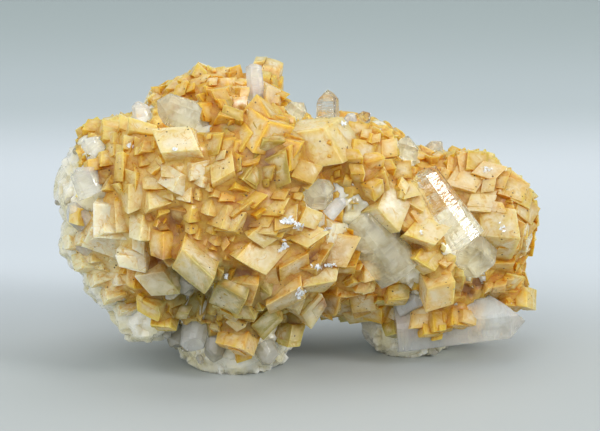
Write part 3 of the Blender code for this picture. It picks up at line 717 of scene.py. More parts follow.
veils = Grains()
draw = random.Random(VEIL_SEED)
for number, sheets, bubbles in VEILS:
    foot, tip, foot_radius, tip_radius, _, _ = clear_rows[number]
    axis = (tip - foot).normalized()
    for _ in range(sheets):
        facing = (any_way(draw) + axis * draw.uniform(-VEIL_TILT, VEIL_TILT)).normalized()
        side = facing.orthogonal().normalized()
        other = facing.cross(side)
        centre = foot.lerp(tip, draw.uniform(*VEIL_PLACES))
        for _ in range(bubbles):
            along, across = [draw.gauss(0.0, spread) for spread in VEIL_SPREAD]
            place = centre + (side * along + other * across) * foot_radius
            place += facing * noise.noise(place / VEIL_WAVE_LENGTH) * VEIL_WAVE
            share = (place - foot).dot(axis) / (tip - foot).length
            radius = (foot_radius + (tip_radius - foot_radius) * share) * VEIL_REACH
            aside = (place - foot - axis * (place - foot).dot(axis)).length
            if VEIL_ENDS[0] < share < VEIL_ENDS[1] and aside < radius:
                size = draw.uniform(*BUBBLE_SIZES)
                veils.add(place, side * size, other * size, facing * size * BUBBLE_FLAT)
veil_finish = build_grain_finish("veils in quartz", 0.8 * MM, VEIL_WHITE, VEIL_GREY, 0.3)
veils.finish("veils_in_quartz", veil_finish, "quartz", "quartz")


# The small quartz points: milky to grey crystals that cover the bare quartz, the left end and the feet.
# MILKY_SEEN are the ones that show, given as the clear ones are. The others stand evenly over the bare
# places, as far as the specimen's OUTLINE in the picture lets them. CRUST_OUTLINE is the dolomite's.
# BARE_ZONES are the middles and half-sizes of the places where no dolomite grew.
MILKY_SEEN = [
    ((482, 172), (484, 156), 15, 12, -1.0, 1.0, 25, 0.5),
    ((216, 340), (212, 364), 12, 10, 0.0, 1.0, 20, 0.8),
    ((182, 332), (170, 350), 12, 10, 0.0, 1.5, 0, 0.8),
    ((262, 345), (274, 366), 14, 11, 0.0, 1.0, 0, 0.7),
]
OUTLINE = [
    (57, 205), (75, 178), (77, 150), (88, 115), (110, 115), (130, 95), (148, 95), (163, 82),
    (190, 72), (195, 65), (230, 68), (240, 75), (247, 60), (262, 57), (278, 62), (283, 92),
    (305, 103), (315, 108), (318, 98), (328, 87), (338, 92), (340, 110), (375, 112), (373, 125),
    (385, 133), (412, 130), (440, 133), (447, 145), (475, 148), (490, 152), (500, 165),
    (520, 175), (530, 185), (538, 200), (535, 235), (523, 262), (522, 275), (537, 292),
    (527, 318), (500, 340), (455, 347), (410, 357), (380, 345), (383, 330), (375, 320),
    (345, 315), (330, 322), (310, 305), (295, 310), (280, 345), (285, 355), (278, 370),
    (250, 370), (215, 365), (195, 362), (175, 345), (150, 320), (120, 290), (90, 245), (60, 215),
]
CRUST_OUTLINE = [
    (84, 150), (80, 128), (97, 116), (110, 118), (128, 112), (140, 115), (150, 92), (163, 84),
    (190, 72), (195, 62), (210, 66), (230, 68), (238, 75), (246, 80), (256, 66), (262, 58),
    (276, 60), (283, 92), (290, 118), (344, 121), (348, 114), (368, 114), (373, 125), (385, 141),
    (397, 150), (447, 152), (452, 149), (475, 148), (490, 152), (500, 165), (520, 175), (530, 185),
    (538, 200), (535, 235), (523, 262), (522, 275), (537, 292), (530, 309), (487, 296), (478, 330),
    (410, 336), (383, 330), (375, 320), (345, 320), (330, 322), (310, 310), (300, 322), (292, 345),
    (270, 350), (255, 365), (215, 362), (212, 330), (185, 333), (160, 327), (132, 306), (100, 282),
    (84, 262), (74, 238), (80, 206),
]
BARE_ZONES = [
    (Vector((-41.0, 1.0, 30.0)) * MM, Vector((6.0, 14.0, 11.0)) * MM),
    (Vector((-32.0, 6.0, 8.0)) * MM, Vector((9.0, 14.0, 7.0)) * MM),
    (Vector((-21.0, 6.0, -1.0)) * MM, Vector((12.0, 25.0, 10.0)) * MM),
    (Vector((-4.0, 12.0, -1.0)) * MM, Vector((9.0, 20.0, 7.0)) * MM),
    (Vector((20.0, 12.0, -1.0)) * MM, Vector((16.0, 18.0, 8.0)) * MM),
    (Vector((-4.0, 24.0, 23.0)) * MM, Vector((12.0, 8.0, 9.0)) * MM),
    (Vector((-17.5, -15.5, 14.5)) * MM, Vector((5.5, 6.0, 4.6)) * MM),
]
OUTLINE_EASE = 0.015
BARE_MARGIN = 1.0 * MM
FILL_RADII = (1.6 * MM, 3.4 * MM)
FILL_LENGTHS = (0.8 * MM, 2.8 * MM)
FILL_CROWD = 2
FILL_TAPER = 0.85
FILL_POINT = 0.7
QUARTZ_LEAN = 0.3
FOOT_SUNK = 1.2
FILL_SEED = 3
POINTS_SEED = 12
TINY_COUNT = 110
TINY_SKIPPED = 0.35
TINY_RADII = (0.45 * MM, 1.1 * MM)
TINY_LENGTHS = (0.7 * MM, 2.0 * MM)
TINY_LEAN = 0.6
TINY_POINT = 0.9
POINTS_WHITE = (0.80, 0.79, 0.73, 1.0)
POINTS_GREY = (0.60, 0.58, 0.46, 1.0)
POINTS_LINE_STEP = 2.0


def inside(point, zones, grow=0.0):
    """Whether a point lies in any of the ellipsoids in a list."""
    for zone in zones:
        centre, half = zone[:2]
        reach = Vector([(point[i] - centre[i]) / (half[i] + grow) for i in range(3)])
        if reach.length < 1.0:
            return True
    return False


def in_outline(point, outline=OUTLINE):
    """Whether a point, seen from the viewer's side, falls inside an outline."""
    x, y = seen_at(point)
    x -= (x - PICTURE_MIDDLE[0]) * OUTLINE_EASE
    y -= (y - PICTURE_MIDDLE[1]) * OUTLINE_EASE
    within = False
    for (x1, y1), (x2, y2) in zip(outline, outline[1:] + outline[:1]):
        if (y1 > y) != (y2 > y) and x < x1 + (y - y1) * (x2 - x1) / (y2 - y1):
            within = not within
    return within


def evenly_over(lobe, count):
    """Evenly spread directions over one swelling, as places and outward directions."""
    centre, half = lobe[:2]
    golden = math.pi * (3.0 - math.sqrt(5.0))
    spots = []
    for step in range(count):
        height = 1.0 - 2.0 * (step + 0.5) / count
        ring = math.sqrt(1.0 - height * height)
        way = Vector((ring * math.cos(golden * step), ring * math.sin(golden * step), height))
        place = centre + Vector([way[i] * half[i] for i in range(3)])
        outward = Vector([way[i] / half[i] for i in range(3)]).normalized()
        spots.append((place, outward))
    return spots


def all_over(lobes, count_on):
    """Evenly spread places on some swellings, with their outward directions and the other swellings."""
    for number, lobe in enumerate(lobes):
        others = lobes[:number] + lobes[number + 1:]
        for place, outward in evenly_over(lobe, count_on(lobe)):
            yield place, outward, others


def filling_points(draw):
    """The quartz crystals that stand over the bare places, as foot, tip, radii, turn and point."""
    rows = []
    for place, outward, others in all_over(LOBES, lambda lobe: lobe[2] * FILL_CROWD):
        along = (outward + swayed(draw, QUARTZ_LEAN)).normalized()
        radius = draw.uniform(*FILL_RADII)
        length = draw.uniform(*FILL_LENGTHS)
        turn = draw.uniform(0.0, SIDE_TURN)
        if inside(place, others) or not inside(place, BARE_ZONES, BARE_MARGIN):
            continue
        foot = place - along * radius * FOOT_SUNK
        tip = place + along * length
        side = along.cross(AWAY).normalized() * radius * FILL_TAPER
        if all(in_outline(tip + side * way) for way in (-1.0, 0.0, 1.0)):
            rows.append((foot, tip, radius, radius * FILL_TAPER, turn, FILL_POINT))
    return rows


def tiny_points(draw):
    """Smaller crystals in the gaps between the others on the bare quartz."""
    rows = []
    for place, outward, others in all_over(LOBES, lambda lobe: TINY_COUNT):
        if draw.random() < TINY_SKIPPED or inside(place, others):
            continue
        if not inside(place, BARE_ZONES, BARE_MARGIN):
            continue
        along = (outward + swayed(draw, TINY_LEAN)).normalized()
        radius = draw.uniform(*TINY_RADII)
        foot = place - along * radius
        tip = place + along * draw.uniform(*TINY_LENGTHS)
        if in_outline(tip) and tip.z > 0.0:
            turn = draw.uniform(0.0, SIDE_TURN)
            rows.append((foot, tip, radius, radius * FILL_TAPER, turn, TINY_POINT))
    return rows


def above_floor(shape_and_local):
    """The shape with what would reach below the floor pressed flat on it."""
    shape, local = shape_and_local
    for corner in shape.verts:
        corner.co.z = max(corner.co.z, 0.0)
    return shape, local


milky_rows = crystals_placed(MILKY_SEEN)
fill_rows = filling_points(random.Random(FILL_SEED))
draw = random.Random(POINTS_SEED)
shapes = [above_floor(quartz_crystal(*row, draw)) for row in milky_rows + fill_rows]
shapes += [above_floor(quartz_crystal(*row, draw, worn=False)) for row in tiny_points(draw)]


def build_points_finish():
    """Cloudy quartz crystals: half clear at their faces and grey-white in their depth."""
    finish, tree, surface, where = new_finish("cloudy quartz points")
    hidden = use_group(tree, crevices, {"Reach": 3.0 * MM})
    clouds = mottle(tree, where, 3.0 * MM, 4.0, 0.5)
    base = blend(tree, stretch(tree, clouds, 0.4, 0.6), POINTS_WHITE, POINTS_GREY)
    wire(tree, surface, {
        "Base Color": use_group(
            tree, rust, {"Colour": base, "Hidden": hidden, "Amount": QUARTZ_STAIN, "Where": where}),
        "Roughness": stretch(tree, clouds, 0.3, 0.7, 0.08, 0.25),
        "Normal": bumped(tree, 0.4, 0.06 * MM, use_group(tree, striations, {"Step": POINTS_LINE_STEP})),
        "IOR": QUARTZ_IOR,
        "Transmission Weight": 0.6,
    })
    return finish


points_finish = build_points_finish()
corners, faces, places = gathered(shapes)
points_mesh = shell("cloudy_quartz_points", corners, faces, [("place", "FLOAT_VECTOR", places)])
piece("cloudy_quartz_points", points_mesh, points_finish, ["quartz"], CRYSTAL_SHARP)


# The dolomite: slanting rhombs, cream in the middle and honey where they meet, with slightly
# saddle-shaped faces built up of flat terraces. They grew on and through each other, from a first mat
# of grains too small to tell apart.
def build_speck_group():
    """Tiny dark grains, sparsely strewn: 1 on a grain, 0 beside it."""
    inputs = {"Where": "Vector", "Spacing": "Float", "Share": "Float"}
    tree, given, result = bare_group("dark grains", inputs, "Grain")
    scale = sum_up(tree, "DIVIDE", 1.0, given["Spacing"])
    cells = place_node(tree, "ShaderNodeTexVoronoi", None, {"Vector": given["Where"], "Scale": scale})
    luck = place_node(tree, "ShaderNodeSeparateColor", None, {0: cells.outputs["Color"]})
    chosen = sum_up(tree, "LESS_THAN", luck.outputs[0], given["Share"])
    size = stretch(tree, luck.outputs[1], 0.0, 1.0, 0.07, 0.20)
    near = sum_up(tree, "LESS_THAN", cells.outputs["Distance"], size)
    wire(tree, result, {"Grain": sum_up(tree, "MULTIPLY", chosen, near)})
    return tree


def build_edge_group():
    """How near a spot is to an edge of its own crystal, from its place in it: 1 on the edge."""
    inputs = {"Width": "Float", "Wander": "Float", "Cloud": "Float"}
    tree, given, result = bare_group("near a crystal's edge", inputs, "Edge")
    size = place_node(tree, "ShaderNodeVectorMath", {"operation": "ABSOLUTE"},
                      {0: carried(tree, "place")})
    room = place_node(tree, "ShaderNodeVectorMath", {"operation": "SUBTRACT"},
                      {0: carried(tree, "reach"), 1: size.outputs[0]})
    parts = place_node(tree, "ShaderNodeSeparateXYZ", None, {0: room.outputs[0]})
    x, y, z = parts.outputs
    low = sum_up(tree, "MINIMUM", x, y)
    high = sum_up(tree, "MAXIMUM", x, y)
    middle = sum_up(tree, "MAXIMUM", low, sum_up(tree, "MINIMUM", high, z))
    sway = sum_up(tree, "MULTIPLY", sum_up(tree, "SUBTRACT", given["Cloud"], 0.5), given["Wander"])
    share = sum_up(tree, "DIVIDE", sum_up(tree, "ADD", middle, sway), given["Width"])
    wire(tree, result, {"Edge": stretch(tree, share, 0.0, 1.0, 1.0, 0.0)})
    return tree


specks = build_speck_group()
crystal_edges = build_edge_group()

# Each row of FACES_SEEN is a face that shows: the blunt corner where three faces meet, the two corners
# next to it, whether the face tilts up (1) or down (-1), how far it stands out in millimetres, and its
# tone. TONGUE_SEEN are the ones that grew on the long clear crystal. Each row of BLOCKS_SEEN is a
# crystal with three faces that show: the corner where they meet, the next three corners, how far
# behind it these lie, how far it stands out, both in millimetres, and its tone.
FACES_SEEN = [
    ((107, 132), (84, 129), (110, 119), 1, 2.0, "gold"),
    ((136, 130), (148, 120), (111, 120), 1, 2.2, "yellow"),
    ((104, 128), (97, 146), (126, 131), -1, 2.0, "gold"),
    ((128, 129), (122, 146), (158, 136), -1, 2.2, "yellow"),
    ((171, 97), (156, 104), (164, 86), 1, 1.5, "peach"),
    ((189, 90), (198, 76), (167, 88), 1, 1.6, "peach"),
    ((195, 76), (209, 84), (198, 62), 1, 1.0, "peach"),
    ((244, 78), (233, 82), (240, 64), 1, 1.0, "gold"),
    ((230, 78), (212, 80), (232, 66), 1, 1.0, "peach"),
    ((227, 77), (209, 80), (230, 95), 1, 2.2, "pink"),
    ((192, 86), (208, 82), (190, 101), 1, 1.8, "gold"),
    ((214, 101), (200, 104), (221, 119), 1, 2.4, "gold"),
    ((233, 95), (247, 94), (232, 110), 1, 2.4, "pink"),
    ((221, 106), (246, 112), (219, 115), 1, 2.2, "tan"),
    ((222, 115), (243, 121), (216, 129), -1, 1.2, "olive"),
    ((253, 133), (241, 120), (240, 152), 1, 3.4, "yellow"),
    ((202, 136), (222, 134), (199, 158), 1, 2.6, "yellow"),
    ((208, 164), (231, 151), (212, 183), 1, 3.2, "cream"),
    ((191, 163), (208, 161), (190, 181), 1, 3.0, "white"),
    ((235, 141), (248, 140), (233, 156), 1, 2.6, "gold"),
    ((243, 152), (262, 150), (241, 165), 1, 2.0, "gold"),
    ((305, 148), (330, 143), (311, 170), -1, 3.0, "gold"),
    ((254, 164), (269, 176), (243, 180), 1, 2.2, "olive"),
    ((270, 174), (284, 173), (268, 191), -1, 1.8, "olive"),
    ((249, 189), (236, 202), (267, 195), 1, 3.0, "yellow"),
    ((267, 196), (289, 198), (259, 214), 1, 3.2, "cream"),
    ((286, 174), (304, 178), (281, 190), 1, 2.8, "tan"),
    ((291, 199), (304, 203), (286, 214), 1, 3.0, "tan"),
    ((302, 219), (283, 236), (327, 232), 1, 3.8, "cream"),
    ((333, 222), (350, 225), (327, 243), 1, 2.2, "white"),
    ((137, 160), (124, 153), (136, 190), -1, 2.6, "yellow"),
    ((163, 170), (141, 171), (164, 188), 1, 2.8, "cream"),
    ((147, 189), (170, 184), (150, 209), 1, 3.2, "cream"),
    ((139, 196), (150, 187), (147, 207), 1, 2.8, "cream"),
    ((192, 186), (176, 183), (190, 202), 1, 2.8, "white"),
    ((143, 214), (165, 215), (140, 240), 1, 3.4, "cream"),
    ((168, 209), (186, 212), (166, 225), -1, 1.6, "brown"),
    ((163, 230), (184, 228), (164, 258), 1, 3.0, "gold"),
    ((146, 254), (115, 248), (158, 243), 1, 3.2, "white"),
    ((224, 257), (190, 225), (213, 278), 1, 4.0, "cream"),
    ((212, 197), (227, 202), (208, 214), 1, 3.0, "cream"),
    ((200, 187), (210, 188), (198, 201), 1, 2.6, "cream"),
    ((222, 187), (237, 189), (220, 200), 1, 3.0, "peach"),
    ((215, 219), (227, 221), (212, 234), 1, 3.0, "cream"),
    ((192, 204), (207, 203), (190, 222), 1, 2.4, "yellow"),
    ((226, 229), (238, 229), (221, 242), 1, 3.2, "cream"),
    ((228, 246), (240, 248), (226, 260), 1, 2.6, "peach"),
    ((258, 231), (238, 258), (287, 250), 1, 4.2, "cream"),
    ((264, 275), (267, 304), (300, 256), 1, 3.4, "peach"),
    ((245, 301), (258, 286), (254, 322), 1, 2.8, "green"),
    ((232, 267), (249, 270), (229, 281), -1, 1.8, "olive"),
    ((221, 296), (234, 301), (213, 305), 1, 3.0, "white"),
    ((301, 317), (282, 305), (320, 295), 1, 3.6, "white"),
    ((301, 318), (277, 308), (300, 338), -1, 2.0, "green"),
    ((318, 269), (334, 268), (315, 287), 1, 3.0, "cream"),
    ((316, 290), (339, 297), (313, 312), -1, 2.0, "tan"),
    ((338, 270), (362, 268), (337, 298), 1, 3.2, "peach"),
    ((364, 258), (386, 254), (364, 282), 1, 2.8, "peach"),
    ((336, 252), (360, 250), (333, 268), 1, 2.8, "gold"),
    ((358, 298), (383, 292), (343, 313), 1, 3.4, "cream"),
    ((341, 313), (364, 312), (341, 323), -1, 3.0, "green"),
    ((251, 323), (221, 316), (244, 349), 1, 4.0, "peach"),
    ((236, 350), (252, 347), (236, 364), -1, 3.0, "gold"),
    ((292, 323), (275, 319), (288, 346), 1, 2.6, "green"),
    ((161, 308), (137, 297), (173, 296), 1, 3.4, "yellow"),
    ((172, 310), (152, 309), (170, 326), 1, 3.4, "yellow"),
    ((137, 270), (151, 272), (134, 288), 1, 2.2, "gold"),
    ((84, 226), (105, 229), (81, 243), 1, 2.6, "white"),
    ((80, 250), (97, 252), (84, 266), 1, 1.8, "green"),
    ((92, 268), (110, 264), (96, 283), 1, 1.8, "white"),
    ((104, 285), (122, 280), (109, 299), 1, 1.8, "cream"),
    ((117, 299), (134, 294), (122, 312), 1, 1.6, "white"),
    ((68, 233), (83, 233), (70, 247), 1, 1.2, "white"),
    ((104, 250), (120, 258), (102, 268), 1, 1.4, "olive"),
    ((116, 268), (134, 268), (118, 284), 1, 1.6, "white"),
    ((80, 207), (92, 210), (78, 224), 1, 2.4, "gold"),
    ((92, 248), (106, 247), (93, 262), 1, 2.2, "green"),
    ((88, 158), (102, 157), (90, 170), 1, 2.0, "gold"),
    ((100, 170), (114, 168), (101, 184), 1, 2.2, "gold"),
    ((101, 150), (118, 149), (102, 166), 1, 2.2, "yellow"),
    ((140, 150), (158, 148), (141, 166), 1, 2.0, "gold"),
    ((367, 141), (346, 136), (370, 123), 1, 1.6, "gold"),
    ((332, 132), (352, 136), (333, 158), 1, 2.4, "gold"),
    ((354, 138), (376, 142), (352, 160), 1, 2.0, "gold"),
    ((338, 160), (362, 158), (338, 176), -1, 2.0, "gold"),
    ((364, 162), (384, 158), (362, 180), -1, 1.8, "gold"),
    ((377, 140), (396, 138), (378, 158), 1, 1.8, "peach"),
    ((392, 160), (412, 160), (394, 178), 1, 2.0, "tan"),
    ((377, 208), (390, 180), (400, 231), 1, 3.8, "cream"),
    ((426, 241), (415, 258), (447, 256), 1, 3.2, "yellow"),
    ((458, 163), (488, 172), (446, 184), 1, 2.8, "peach"),
    ((472, 189), (497, 192), (466, 210), 1, 2.8, "cream"),
    ((465, 173), (447, 170), (466, 156), 1, 2.2, "peach"),
    ((510, 194), (490, 191), (511, 178), 1, 2.4, "gold"),
    ((508, 199), (530, 208), (513, 181), 1, 2.2, "gold"),
    ((517, 222), (519, 202), (536, 224), 1, 1.8, "gold"),
    ((510, 244), (512, 224), (533, 246), 1, 1.8, "yellow"),
    ((478, 210), (505, 212), (476, 226), -1, 2.0, "tan"),
    ((507, 201), (519, 207), (505, 213), 1, 2.4, "pink"),
    ((495, 249), (517, 250), (493, 263), 1, 2.4, "tan"),
    ((512, 259), (527, 263), (510, 268), 1, 1.6, "tan"),
    ((490, 271), (520, 272), (489, 290), 1, 2.4, "peach"),
    ((505, 287), (526, 289), (506, 304), 1, 2.6, "peach"),
    ((526, 285), (538, 290), (526, 306), 1, 1.6, "cream"),
    ((440, 278), (464, 276), (440, 294), -1, 2.0, "green"),
    ((392, 314), (412, 316), (394, 332), 1, 2.2, "green"),
    ((388, 284), (410, 282), (388, 300), 1, 2.0, "peach"),
    ((420, 165), (433, 150), (407, 158), 1, 1.6, "peach"),
]
TONGUE_SEEN = [
    ((412, 306), (436, 304), (410, 328), 1, 0.5, "peach"),
    ((432, 308), (456, 306), (434, 330), 1, 0.6, "gold"),
    ((452, 306), (472, 308), (452, 324), 1, 0.5, "gold"),
    ((464, 308), (478, 312), (463, 321), 1, 0.7, "peach"),
    ((422, 318), (442, 316), (424, 334), 1, 0.4, "gold"),
    ((434, 331), (444, 330), (433, 341), 1, 0.2, "yellow"),
]
BLOCKS_SEEN = [
    ((266, 137), (325, 129), (286, 171), (286, 122), (1.2, -0.6, 4.4), 2.6, "cream"),
    ((262, 66), (280, 70), (258, 84), (268, 57), (1.8, -0.6, 2.6), 0.4, "peach"),
    ((253, 62), (265, 60), (249, 78), (257, 57), (0.6, 0.2, 3.0), 0.2, "cream"),
    ((262, 79), (281, 82), (260, 100), (266, 72), (1.2, -0.2, 2.6), 0.9, "yellow"),
    ((112, 199), (141, 202), (116, 231), (118, 192), (1.0, -0.4, 3.4), 2.6, "peach"),
]
TONES = {
    "cream": (0.70, 0.58, 0.28),
    "peach": (0.71, 0.50, 0.21),
    "gold": (0.64, 0.42, 0.06),
    "yellow": (0.67, 0.50, 0.11),
    "olive": (0.37, 0.31, 0.08),
    "green": (0.48, 0.44, 0.16),
    "pink": (0.78, 0.62, 0.42),
    "white": (0.76, 0.71, 0.54),
    "tan": (0.55, 0.37, 0.10),
    "brown": (0.31, 0.16, 0.04),
}
LIGHTEST = 0.95
BACK_TONES = ["cream", "cream", "peach", "gold", "yellow", "yellow", "tan", "white", "peach"]
# Each row of TINTS_AND_SHADE is a part of the crust with a colour laid over its tones, seen from the
# viewer's side: its middle and half-sizes in pixels, the colour, and its share. Most rows are the crust's
# own colour in that part. The first, third and fourth darken the deep middle, the olive hollow and the
# low middle, partly their own darker colour and partly painted shade where the crust lies deeper.
TINTS_AND_SHADE = [
    (235, 205, 125, 80, (0.60, 0.38, 0.05), 0.28), (240, 110, 65, 45, (0.68, 0.43, 0.06), 0.35),
    (198, 292, 62, 48, (0.31, 0.255, 0.065), 0.66), (275, 315, 62, 42, (0.29, 0.225, 0.06), 0.55),
    (370, 165, 55, 38, (0.58, 0.37, 0.05), 0.45), (485, 215, 70, 62, (0.70, 0.59, 0.46), 0.60),
    (96, 255, 56, 70, (0.80, 0.76, 0.59), 0.75), (440, 285, 55, 28, (0.62, 0.51, 0.20), 0.50),
    (140, 150, 70, 60, (0.78, 0.62, 0.26), 0.50),
]
TINT_STEEP = 1.6
FRONT_BLEND = 8.0 * MM
STAIN_STEEP = 1.8
STAIN_SPREAD = 0.45
STAIN_MOST = 0.9
# The large crystals: the cosine of a face's blunt angle, how thick and how far out the ones that show
# may be, and how the others stand
FACE_ANGLE_COSINE = -0.2215
SEEN_THICKNESS = 0.62
THICKEST = 4.6 * MM
THICKEST_DOWN = 2.0 * MM
SEEN_DEPTH = 0.88
ROOTED = 0.5 * MM
STEEPEST = 1.5
HARDLY_ANYTHING = 1e-14
ALONG_QUARTZ = (0.2, 0.5, 0.8)
RHOMB_SEED = 7
TONE_SEED = 8
RHOMB_SIZES = (4.6 * MM, 8.6 * MM)
RHOMB_LIFTS = (0.2 * MM, 1.0 * MM)
RHOMB_LEAN = 0.45
RHOMB_SPACING = 0.86
RHOMB_TRIES = 4
RHOMB_SHRINK = 0.8
OTHERS_MARGIN = 0.5 * MM
# Every crystal: its worn edges, saddle, terraces, smaller twin, bends and chips, and how finely the
# sides of its blocks are ruled
WHOLE = ((-1.0, -1.0, -1.0), (1.0, 1.0, 1.0))
RULED_LEAST, RULED_MORE, RULED_MOST = 2, 4, 5
GROWTH_SEED = 21
RHOMB_SHARP = 20.0
ROUNDING = 0.11 * MM
ROUNDING_SHARES = (0.7, 1.3)
MOST_ROUNDED = 0.45
SADDLE = (0.03, 0.11)
TERRACES = (0, 1)
TERRACE_HEIGHTS = (0.05 * MM, 0.16 * MM)
TERRACE_SIDES = (0, 1, 2, 2, 2)
TERRACE_ENDS = (-0.6, 0.4)
TERRACE_STEPS = (0.08, 0.9)
TERRACE_TURN = 0.03
TWINS = (0, 0, 1)
TWIN_STEPS = (0.25, 0.6)
TWIN_LIFTS = (-0.15, 0.2)
TWIN_SHARES = (0.45, 0.75)
TWIN_ROOM = 1.5
TWIN_TURN = 0.16
BENDS = ((1.9 * MM, 0.09 * MM), (0.7 * MM, 0.035 * MM))
BEND_STARTS = (0.0, 6.3)
CHIPS = (1, 4)
CHIP_DEPTHS = (0.03, 0.16)
TONE_SPREAD = 0.05
TERRACE_TONE_SPREAD = 0.04
SMALL_TONE_SPREAD = 0.06
# The filling of the narrow seams between the crystals, which has no crystal edges of its own near it
OPEN_REACH = 9.0
SEAM_REACH = 0.24 * MM
SEAM_BELOW = 0.44 * MM
SEAM_VOXEL = 0.76 * MM
SEAM_NEIGHBOURS = 5
SEAM_GOLD = 0.9
SEAM_TINT = (0.92, 0.76, 0.22)


def third_edge(edge_a, edge_b, inward):
    """The edge that meets two others at the blunt corner, at the same angle to both."""
    length = (edge_a.length + edge_b.length) / 2.0
    share = FACE_ANGLE_COSINE / (1.0 + FACE_ANGLE_COSINE)
    flat = (edge_a + edge_b) * share
    across = edge_a.cross(edge_b).normalized()
    if across.dot(inward) < 0.0:
        across = -across
    height = math.sqrt(max(length * length - flat.length_squared, 0.0))
    return flat + across * height


clear_quartz = BVHTree.FromPolygons([Vector(corner) for corner in clear_corners], clear_faces)


def clear_surface(x, y):
    """Depth where the line of sight meets a clear crystal, or else the quartz lump."""
    ray = in_picture(x, y) - EYE
    hit, _, _, distance = clear_quartz.ray_cast(EYE, ray.normalized())
    if hit is None:
        return lump_surface(x, y)
    return (distance / ray.length - 1.0) * VIEW_DISTANCE


def rhomb_seen(apex, first, second, tilt, stand_out, surface):
    """The corner and edges of a crystal whose face shows with the corners given."""
    middle_x = (first[0] + second[0]) / 2.0
    middle_y = (first[1] + second[1]) / 2.0
    stand_out *= SEEN_DEPTH
    depth = surface(middle_x, middle_y) - stand_out * MM
    corner = at_depth(apex[0], apex[1], depth)
    flat_a = at_depth(first[0], first[1], depth) - corner
    flat_b = at_depth(second[0], second[1], depth) - corner
    size_a = flat_a.length_squared
    size_b = flat_b.length_squared
    shared = flat_a.dot(flat_b)
    cosine = FACE_ANGLE_COSINE
    # Equal edges at a fixed angle: a quadratic in the square of the edge
    square = 1.0 - cosine * cosine
    linear = 2.0 * shared * cosine - size_a - size_b
    constant = size_a * size_b - shared * shared
    edge_squared = -linear + math.sqrt(max(linear * linear - 4.0 * square * constant, 0.0))
    edge_squared /= 2.0 * square
    edge_squared = min(edge_squared, STEEPEST * max(size_a, size_b))
    back_a = math.sqrt(max(edge_squared - size_a, HARDLY_ANYTHING))
    back_b = (edge_squared * cosine - shared) / back_a
    choices = []
    for sign in (1.0, -1.0):
        edge_a = flat_a + AWAY * back_a * sign
        edge_b = flat_b + AWAY * back_b * sign
        facing = edge_a.cross(edge_b).normalized()
        if facing.dot(AWAY) > 0.0:
            facing = -facing
        choices.append((facing.z * tilt, sign, edge_a, edge_b))
    edge_a, edge_b = max(choices)[2:]
    # The face's middle, not its corner, keeps the chosen depth
    corner -= AWAY * (edge_a + edge_b).dot(AWAY) / 2.0
    # The body is cut short, and stands no further out than lets it root in the crust
    edge_c = third_edge(edge_a, edge_b, AWAY)
    thickest = THICKEST if tilt > 0 else THICKEST_DOWN
    edge_c *= min(SEEN_THICKNESS, thickest / edge_c.length)
    loose = stand_out * MM - edge_c.dot(AWAY) - ROOTED
    if loose > 0.0:
        corner += AWAY * loose
    return corner, edge_a, edge_b, edge_c


def block_seen(corner, first, second, third, behind, stand_out):
    """A crystal's corner and edges, from four picture points and how far the last three lie behind."""
    middle_x = (first[0] + second[0]) / 2.0
    middle_y = (first[1] + second[1]) / 2.0
    depth = lump_surface(middle_x, middle_y) - stand_out * MM
    start = at_depth(corner[0], corner[1], depth)
    ends = [at_depth(*end, depth + back * MM) for end, back in zip((first, second, third), behind)]
    return (start, *[end - start for end in ends])


def middle_of(crystal):
    """The middle of a crystal given by its corner and edges."""
    corner, edge_a, edge_b, edge_c = crystal
    return corner + (edge_a + edge_b + edge_c) / 2.0


def rhomb_standing(place, outward, size, draw):
    """The corner and edges of a crystal that stands on the lump with a face or edge outward."""
    facing = (outward + swayed(draw, RHOMB_LEAN)).normalized()
    spin = Vector([draw.uniform(-1.0, 1.0) for _ in range(3)])
    edge_a = facing.cross(spin).normalized() * size
    side = facing.cross(edge_a)
    sine = math.sqrt(1.0 - FACE_ANGLE_COSINE ** 2)
    edge_b = edge_a * FACE_ANGLE_COSINE + side * sine
    edge_c = third_edge(edge_a, edge_b, -facing)
    middle = (edge_a + edge_b + edge_c) / 2.0
    return place - middle, edge_a, edge_b, edge_c


def covered(place, size, taken):
    """Whether a crystal already stands too near a place."""
    for other, other_size in taken:
        if (place - other).length < (size + other_size) / 2.0 * RHOMB_SPACING:
            return True
    return False


def shrunk_into_outline(spot, crystal):
    """The crystal, made smaller about its middle until it falls inside the outline, or None."""
    for _ in range(RHOMB_TRIES):
        corner, edge_a, edge_b, edge_c = crystal
        ends = [
            corner + edge_a * i + edge_b * j + edge_c * k
            for i in (0, 1) for j in (0, 1) for k in (0, 1)
        ]
        if all(in_outline(point, CRUST_OUTLINE) for point in ends):
            return crystal
        corner = spot + (crystal[0] - spot) * RHOMB_SHRINK
        crystal = (corner, *[edge * RHOMB_SHRINK for edge in crystal[1:]])
    return None


def nearby_tone(spot, draw):
    """The tone of one of the crystals that show nearest to a place, or a usual one at the back."""
    if spot.y > LOBES[0][0].y:
        return TONES[draw.choice(BACK_TONES)]
    x, y = seen_at(spot)
    ranked = sorted(FACES_SEEN, key=lambda row: (row[0][0] - x) ** 2 + (row[0][1] - y) ** 2)
    return TONES[draw.choice(ranked[:3])[5]]


